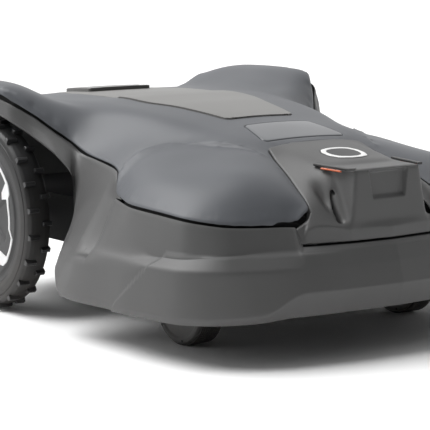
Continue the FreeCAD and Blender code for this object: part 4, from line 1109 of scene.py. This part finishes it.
def nose_piece():
    """The nose and snout as one relaxed skin, with its window recess and side pockets pressed in."""
    sources = [nodes["nose_cover"], frustum(SNOUT_LOW, SNOUT_HIGH)]
    for s in (-1, 1):
        sources += [side_solid(WEB_LOW, WEB_HIGH, s), side_solid(FOOT_LOW, FOOT_HIGH, s)]
    piece = merged("nose_cover_skin", sources, NOSE_VOXEL)
    points = points_of(piece.data) / MM
    ax, y, z = np.abs(points[:, 0]), points[:, 1], points[:, 2]
    ring = both_sides([(0, -339), (60, -335), (100, -327), (119, -322)] + NOSE_PLAN[1:])
    closed = ring + ring[:1]
    edge, _, _ = nearest_on_line(points[:, 0], y, closed)
    snout_zone = step((74 - ax) / 8) * step((-250 - y) / 20) * step((z - 150) / 8)
    weight = 0.5 * np.maximum(step((edge - 2.5) / 4) * 0.5, snout_zone)
    weight = np.maximum(weight, 0.06)
    points = relaxed(piece.data, weight, 34) / MM
    ax, y, z = np.abs(points[:, 0]), points[:, 1], points[:, 2]
    side = 30.0 - (216 - z) * 0.16
    recess = step((z - 184.5) / 5.0) * step((side - ax) / 1.8) * step((-y - 318) / 4) * step((221 - z) / 5)
    points[:, 1] += RECESS_DEPTH * recess
    pocket = np.exp(-(((y + 301) / 13) ** 2) - ((ax - 75) / 7.0) ** 2)
    points[:, 2] -= POCKET_DEPTH * pocket
    piece.data.vertices.foreach_set("co", (points * MM).ravel())
    return settle(piece, "nose", "shell", ["nose_cover", "snout_window", "lamp_pod_left", "lamp_pod_right"],
                  80)


nose = nose_piece()
print("nose points:", len(nose.data.vertices))

# %% [markdown]
# A dark ledge caps each upper edge of the snout, and an orange marker strip is set under it. Both are
# thin bars, so each is merged with a fine voxel and relaxed only enough to lose its sharp corners.

# %% The small trims on the nose
TRIM_VOXEL = 0.55


def bar(name, path, half_wide, half_tall, finish_name, replaced, body="shell"):
    """A rounded bar swept along a straight or bent path of points, in mm."""
    sources = []
    for a, b in zip(path[:-1], path[1:]):
        a, b = np.array(a, float), np.array(b, float)
        along = (b - a) / np.linalg.norm(b - a)
        across = np.cross(along, (0, 0, 1.0))
        across /= np.linalg.norm(across)
        up = np.cross(across, along)
        corners = [(-1, -1), (1, -1), (1, 1), (-1, 1)]
        low = [a + across * half_wide * i + up * half_tall * j for i, j in corners]
        high = [b + across * half_wide * i + up * half_tall * j for i, j in corners]
        sources.append(frustum(low[::-1], high[::-1]))
    piece = merged(name, sources, TRIM_VOXEL)
    relaxed(piece.data, np.full(len(piece.data.vertices), 0.5), 4)
    return settle(piece, finish_name, body, replaced)


for side, name in ((1, "left"), (-1, "right")):
    ledge_path = [(side * 61.5, -266, 222.6), (side * 55.6, -322, 221.6), (side * 50.5, -330, 222.4)]
    bar("ledge_skin_" + name, ledge_path,
        2.6, 1.5, "ledge", ["snout_ledges"] if side > 0 else [])
    bar("marker_skin_" + name, [(side * 62.6, -280, 219.4), (side * 58.6, -313, 218.6)],
        1.5, 1.1, "marker", ["marker_strips"] if side > 0 else [])

# %% [markdown]
# ## Wheels
# The drive tyre is a smooth carcass with two staggered rows of short bars. Each bar is a small block
# with rounded edges, set on the carcass and repeated round it. The cap on the wheel is a shallow dish
# with pressed triangular panels, a bright zig-zag band near its rim and a hexagonal boss.

# %% Turned shapes
AXLE_Y, AXLE_Z = 183.0, 126.68
TURNED_STEPS = 120


def turned(profile, count, centre):
    """A closed ring profile of (radius, x) turned about a level left-right axle."""
    profile = np.array(profile, float)
    angle = np.linspace(0, 2 * math.pi, count, endpoint=False)
    r, x = profile[:, 0], profile[:, 1]
    grid = np.stack(
        [
            np.broadcast_to(x, (count, len(x))),
            centre[0] + np.cos(angle)[:, None] * r,
            centre[1] + np.sin(angle)[:, None] * r,
        ],
        axis=2,
    )
    m = len(x)
    faces = []
    for i in range(count):
        k = (i + 1) % count
        for j in range(m):
            n = (j + 1) % m
            faces.append((i * m + j, i * m + n, k * m + n, k * m + j))
    return grid.reshape(-1, 3), faces


def rounded_profile(points, radius=1.6):
    """The closed profile with each of its corners rounded."""
    points = [np.array(p, float) for p in points]
    out = []
    for i, corner in enumerate(points):
        a, b = points[i - 1] - corner, points[(i + 1) % len(points)] - corner
        la, lb = np.linalg.norm(a), np.linalg.norm(b)
        reach = min(radius, 0.4 * la, 0.4 * lb)
        start, end = corner + a / la * reach, corner + b / lb * reach
        out += [(1 - s) ** 2 * start + 2 * s * (1 - s) * corner + s * s * end for s in (0, 0.33, 0.67, 1)]
    return out


def mirrored_x(points, faces, side):
    """The points and faces as they are for the left side, or mirrored for the right."""
    points = np.array(points, float)
    if side > 0:
        return points, faces
    points[:, 0] *= -1
    return points, [tuple(reversed(f)) for f in faces]


print("a corner rounded at 1.6 mm:", len(rounded_profile([(0, 0), (10, 0), (10, 10)])), "profile points")

# %% [markdown]
# The bars stand in two rows, the outer row half a step behind the inner one, so that one bar is
# always on the ground. They are a little glossier than the carcass, as bars that rub on grass are.

# %% The drive tyre
LUGS = 22
LUG_ROWS = ((232.5, 246.0), (250.0, 265.0))
LUG_BASE, LUG_TOP, LUG_HALF = 120.0, 126.6, 2.6
TYRE_STEPS = 180


def tyre_lug(x0, x1, angle, base, top, half):
    """One tread bar: a block with cut edges, standing on the carcass."""
    rings = ((base, half + 1.2, 0.0), (top - 1.0, half, 0.0), (top, half - 1.0, 1.0))
    points = []
    for radius, reach, inset in rings:
        near, far = x0 + inset, x1 - inset
        for x, t in ((near, -reach), (far, -reach), (far, reach), (near, reach)):
            y = radius * math.cos(angle) - t * math.sin(angle)
            z = radius * math.sin(angle) + t * math.cos(angle)
            points.append((x, AXLE_Y + y, AXLE_Z + z))
    faces = [(3, 2, 1, 0), (8, 9, 10, 11)]
    for k in (0, 4):
        faces += [(k + i, k + (i + 1) % 4, k + 4 + (i + 1) % 4, k + 4 + i) for i in range(4)]
    return points, faces


TYRE_PROFILE = [
    (97, 230.5), (104, 229.2), (112, 229.6), (118, 231.5), (121.4, 235), (122.4, 241), (122.6, 248),
    (122.4, 255), (121.4, 261), (118.4, 264.6), (114.6, 265.8), (114.0, 265.2), (112.6, 265.2),
    (112.0, 266.2), (104, 266.8), (97, 265.5), (96, 262), (96, 234),
]


def tyre(side, name):
    """The carcass and its bars as one piece; the faces of the bars get their own rubber."""
    points, faces = turned(rounded_profile(TYRE_PROFILE, 1.2), TYRE_STEPS, (AXLE_Y, AXLE_Z))
    points, faces = list(points), list(faces)
    carcass = len(faces)
    for row, (x0, x1) in enumerate(LUG_ROWS):
        for i in range(LUGS):
            angle = 2 * math.pi * (i + 0.5 * row) / LUGS
            lug, lug_faces = tyre_lug(x0, x1, angle, LUG_BASE, LUG_TOP, LUG_HALF)
            faces += [tuple(k + len(points) for k in f) for f in lug_faces]
            points += lug
    points, faces = mirrored_x(points, faces, side)
    piece = new_piece("tyre_skin_" + name, points, faces, "tyre", "drive_wheel_" + name, ["tyre_" + name])
    piece.data.set_sharp_from_angle(angle=math.radians(35))
    piece.data.materials.append(FINISH["lug"])
    for face in piece.data.polygons[carcass:]:
        face.material_index = 1
    return piece


print("bars on a tyre:", LUGS * len(LUG_ROWS))

# %% [markdown]
# The cap's face is a height that depends on radius and angle, so its dish, its five pressed panels
# and its grooves are all part of one mesh and catch the light as one moulding.

# %% The wheel's cap
COVER_FACE = [(0, 272.0), (17, 272.0), (22, 270.6), (26, 268.0),
              (58, 266.2), (78, 266.6), (86, 266.4), (91, 263.4)]
FACE_R = [p[0] for p in COVER_FACE]
FACE_X = [p[1] for p in COVER_FACE]
CAP_R = 91.0
CAP_BACK = 261.0
REPEATS = 5


def cap_height(r, angle):
    """How far out the cap's face stands at each radius and angle."""
    x = fair(FACE_R, FACE_X, r.ravel()).reshape(r.shape)
    turn = np.mod(angle * REPEATS / (2 * math.pi), 1.0)
    across = np.abs(turn - 0.5) * 2
    panel = step((r - 30) / 3) * step((70 - r) / 3) * step((0.72 - across - 0.35 * (70 - r) / 40) / 0.08)
    gap = np.exp(-((r - 88.4) / 0.8) ** 2)
    groove = np.exp(-((r - 27.5) / 0.9) ** 2)
    return x - 2.2 * panel - 0.9 * gap - 0.9 * groove


def wheel_cap(side, name):
    """The cap's face with a rim and a back; the last three radii make the rim and back."""
    radii = np.concatenate([np.linspace(0.5, CAP_R, 74), [CAP_R, 88.0, 20.0]])
    angles = np.linspace(0, 2 * math.pi, 240, endpoint=False)
    a, r = np.meshgrid(angles, radii, indexing="ij")
    x = cap_height(r, a)
    x[:, -3:] = CAP_BACK
    grid = np.stack([x, AXLE_Y + r * np.cos(a), AXLE_Z + r * np.sin(a)], axis=2)
    n, m = grid.shape[:2]
    faces = []
    for i in range(n):
        k = (i + 1) % n
        faces += [(i * m + j, k * m + j, k * m + j + 1, i * m + j + 1) for j in range(m - 1)]
    faces.append(tuple(i * m for i in reversed(range(n))))
    faces.append(tuple(i * m + m - 1 for i in range(n)))
    points, faces = mirrored_x(grid.reshape(-1, 3), faces, side)
    piece = new_piece("wheel_cap_" + name, points, faces, "wheel", "drive_wheel_" + name,
                      ["wheel_cover_" + name])
    piece.data.set_sharp_from_angle(angle=math.radians(40))
    return piece


print("cap radius:", CAP_R, "mm, pressed panels:", REPEATS)

# %% [markdown]
# A bright lacquered band zig-zags round the cap and widens to a blade at each repeat. It is a thin
# ribbon with cut edges that follows the cap's face, and a six-sided boss closes the axle.

# %% The bright band and the boss
BOSS = [(270.4, 15.0), (272.0, 13.4)]


def zigzag_band():
    """The bright band as pairs of (angle, inner radius, outer radius)."""
    pitch = 2 * math.pi / REPEATS
    shares = [(0.0, 82, 86.5), (0.06, 66, 86.5), (0.16, 62, 84), (0.2, 74, 79), (0.3, 72.5, 76.5),
              (0.62, 73.5, 77.5), (0.72, 82, 86), (0.98, 82, 86)]
    return [((i + s) * pitch, lo, hi) for i in range(REPEATS) for s, lo, hi in shares]


def hexagon(x, radius):
    """A six-sided ring of points round the axle."""
    turns = [k * math.pi / 3 for k in range(6)]
    return [(x, AXLE_Y + radius * math.cos(a), AXLE_Z + radius * math.sin(a)) for a in turns]


def wheel_inlay(side, name):
    """The band and the boss of one wheel."""
    rows = zigzag_band()
    points, faces, fine = [], [], []
    last = (rows[0][0] + 2 * math.pi, *rows[0][1:])
    for (a0, l0, h0), (a1, l1, h1) in zip(rows, rows[1:] + [last]):
        for s in np.linspace(0, 1, 5)[:-1]:
            fine.append((a0 + (a1 - a0) * s, l0 + (l1 - l0) * s, h0 + (h1 - h0) * s))
    for angle, low, high in fine:
        inner_edge = ((low, -1.5), (low, 0.5), (low + 0.6, 1.0))
        outer_edge = ((high - 0.6, 1.0), (high, 0.5), (high, -1.5))
        for radius, lift in inner_edge + outer_edge:
            x = fair(FACE_R, FACE_X, [radius])[0] + lift
            points.append((x, AXLE_Y + radius * math.cos(angle), AXLE_Z + radius * math.sin(angle)))
    n = len(fine)
    for i in range(n):
        k = (i + 1) % n
        faces += [(i * 6 + j, k * 6 + j, k * 6 + (j + 1) % 6, i * 6 + (j + 1) % 6) for j in range(6)]
    points, faces = mirrored_x(points, faces, side)
    piece = new_piece("wheel_band_" + name, points, faces, "silver", "drive_wheel_" + name,
                      ["wheel_inlay_" + name])
    piece.data.set_sharp_from_angle(angle=math.radians(35))
    boss, boss_faces = mirrored_x(*frustum(*(hexagon(x, r) for x, r in BOSS)), side)
    hub = new_piece("wheel_boss_" + name, boss, boss_faces, "silver", "drive_wheel_" + name)
    hub.data.set_sharp_from_angle(angle=math.radians(30))


print("corners of the band:", len(zigzag_band()))

# %% [markdown]
# ## Castor wheels
# Each castor is a hard disc with a raised rim and a ring of small dark studs, and a narrow rubber
# tread with fine ribs round it. The tread is a turned profile with nine ribs.

# %% Castors
CASTOR_Y, CASTOR_R = -164.0, 51.0
DISC_PROFILE = [
    (5, 153.4), (12, 153.4), (14, 155.0), (40, 155.2), (43, 153.2), (47.2, 153.4), (48.8, 155.6),
    (49.2, 161), (49.2, 183), (48.8, 188.4), (47.2, 190.6), (43, 190.8), (40, 188.8), (14, 189.0),
    (12, 190.6), (5, 190.6),
]
STUDS = 6
STUD_RING, STUD_R, STUD_SIDES = 45, 1.6, 8
STUD_SPANS = ((152.9, 156.0), (188.0, 191.1))
RIBS = 9


def castor(side, name):
    """One castor's disc, studs and ribbed tread."""
    centre = (CASTOR_Y, CASTOR_R)
    points, faces = turned(rounded_profile(DISC_PROFILE, 0.8), TURNED_STEPS, centre)
    points, faces = list(points), list(faces)
    studs = len(points)
    eighths = [k * math.pi / 4 for k in range(STUD_SIDES)]
    for x0, x1 in STUD_SPANS:
        for i in range(STUDS):
            a = math.pi * i / 3 + 0.3
            y, z = CASTOR_Y + STUD_RING * math.cos(a), CASTOR_R + STUD_RING * math.sin(a)
            ring = [(y + STUD_R * math.cos(t), z + STUD_R * math.sin(t)) for t in eighths]
            stud, stud_faces = frustum([(x0, *p) for p in ring], [(x1, *p) for p in ring])
            faces += [tuple(k + len(points) for k in f) for f in stud_faces]
            points += stud
    points, faces = mirrored_x(points, faces, side)
    piece = new_piece("castor_disc_" + name, points, faces, "castor", "castor_roller_" + name,
                      ["castor_wheel_" + name])
    piece.data.materials.append(FINISH["seam"])
    for face in piece.data.polygons:
        if min(face.vertices) >= studs:
            face.material_index = 1
    piece.data.set_sharp_from_angle(angle=math.radians(40))
    tread = [(48.6, 157)]
    for k in range(RIBS):
        x = 157.0 + k * 30.0 / RIBS
        tread += [(51.0, x + 0.5), (51.0, x + 2.4), (49.9, x + 2.8), (49.9, x + 3.3)]
    tread += [(48.6, 187)]
    points, faces = turned(tread, TURNED_STEPS, centre)
    points, faces = mirrored_x(points, faces, side)
    rubber = new_piece("castor_tread_" + name, points, faces, "tread", "castor_roller_" + name,
                       ["castor_tyre_" + name])
    rubber.data.set_sharp_from_angle(angle=math.radians(40))


for side, name in ((1, "left"), (-1, "right")):
    tyre(side, name)
    wheel_cap(side, name)
    wheel_inlay(side, name)
    castor(side, name)

# %% [markdown]
# ## The generic mark, the button and the back
# The nose carries a plain white ring mark with a dark edge that is its painted shadow line. The stop
# button and the back panel keep their shapes with their edges relaxed so they catch the light; the
# control tray keeps its own shape.

# %% Small parts
def softened_node(name, new_name, voxel, finish_name, body):
    """A part with its own shape, its edges relaxed a little."""
    piece = merged(new_name, [nodes[name]], voxel)
    relaxed(piece.data, np.full(len(piece.data.vertices), 0.4), 4)
    return settle(piece, finish_name, body, [name])


softened_node("rear_body", "rear_body_skin", 1.6, "nose", "shell")
softened_node("stop_button", "stop_button_skin", 0.9, "button", "stop")

# %% [markdown]
# The ring is two thin panels laid on the nose: a dark oval, and over it a white one with its middle
# cut out. The dark one stands out all round as a fine painted shadow line round the white.

# %% The ring mark
MARK_SHADOW_OUTLINE = [(8, -275), (24, -268), (31, -254), (31, -238), (24, -227), (10, -223)]
MARK_FACE = [(7.4, -273), (22.6, -266.4), (29.2, -253), (29.2, -239), (22.6, -228.8), (9.6, -225)]
MARK_HOLE = [(5, -266), (17, -260), (21.6, -251), (21.6, -241), (17, -234), (7, -231)]
# The dark oval is painted shadow: a fine shadow line round the white ring.
deck_panel("mark_shadow_edge", both_sides(MARK_SHADOW_OUTLINE), [],
           nose_height, 0.35, 1.2, 2.0, "mark_shadow_edge", ["nose_emblem"], 3.0)
deck_panel("mark_face", both_sides(MARK_FACE), [both_sides(MARK_HOLE)],
           nose_height, 0.75, 1.2, 2.0, "mark", [], 3.0)

# %% [markdown]
# The parts under the shell and inside the hatch already have the right shape. They keep it, and only
# get a finish: black chassis, plain steel shafts and blades, zinc motors, a green board and brass
# bushes.

# %% Finishes for the parts that keep their own shape
KEEP = {
    "tray": ["control_tray", "jog_wheel", "jog_key"], "display": ["display_panel"],
    "lid": ["hatch_lid"],
    "chassis": ["chassis_tub", "chassis_plate", "battery_cover", "motor_housing", "skid_plate",
                "float_frame", "cross_frame", "shell_posts"],
    "castor": ["castor_fork_left", "castor_fork_right"],
    "wheel": ["wheel_rim_left", "wheel_rim_right"],
    "steel": ["wheel_shaft_left", "wheel_shaft_right", "castor_pin_left", "castor_pin_right",
              "cutter_shaft", "disc_screws", "hinge_pins", "height_spindle"],
    "blade": ["blade_a", "blade_b", "blade_c"], "disc": ["cutting_disc"],
    "motor": ["height_motor", "cutting_motor", "drive_motor_left", "drive_motor_right"],
    "battery": ["battery_pack"], "board": ["main_board"], "brass": ["castor_bushes", "charging_contacts"],
}
for finish_name, names in KEEP.items():
    for name in names:
        part = nodes[name]
        part.data.materials.clear()
        part.data.materials.append(FINISH[finish_name])
print("parts that keep their shape:", sum(len(names) for names in KEEP.values()))
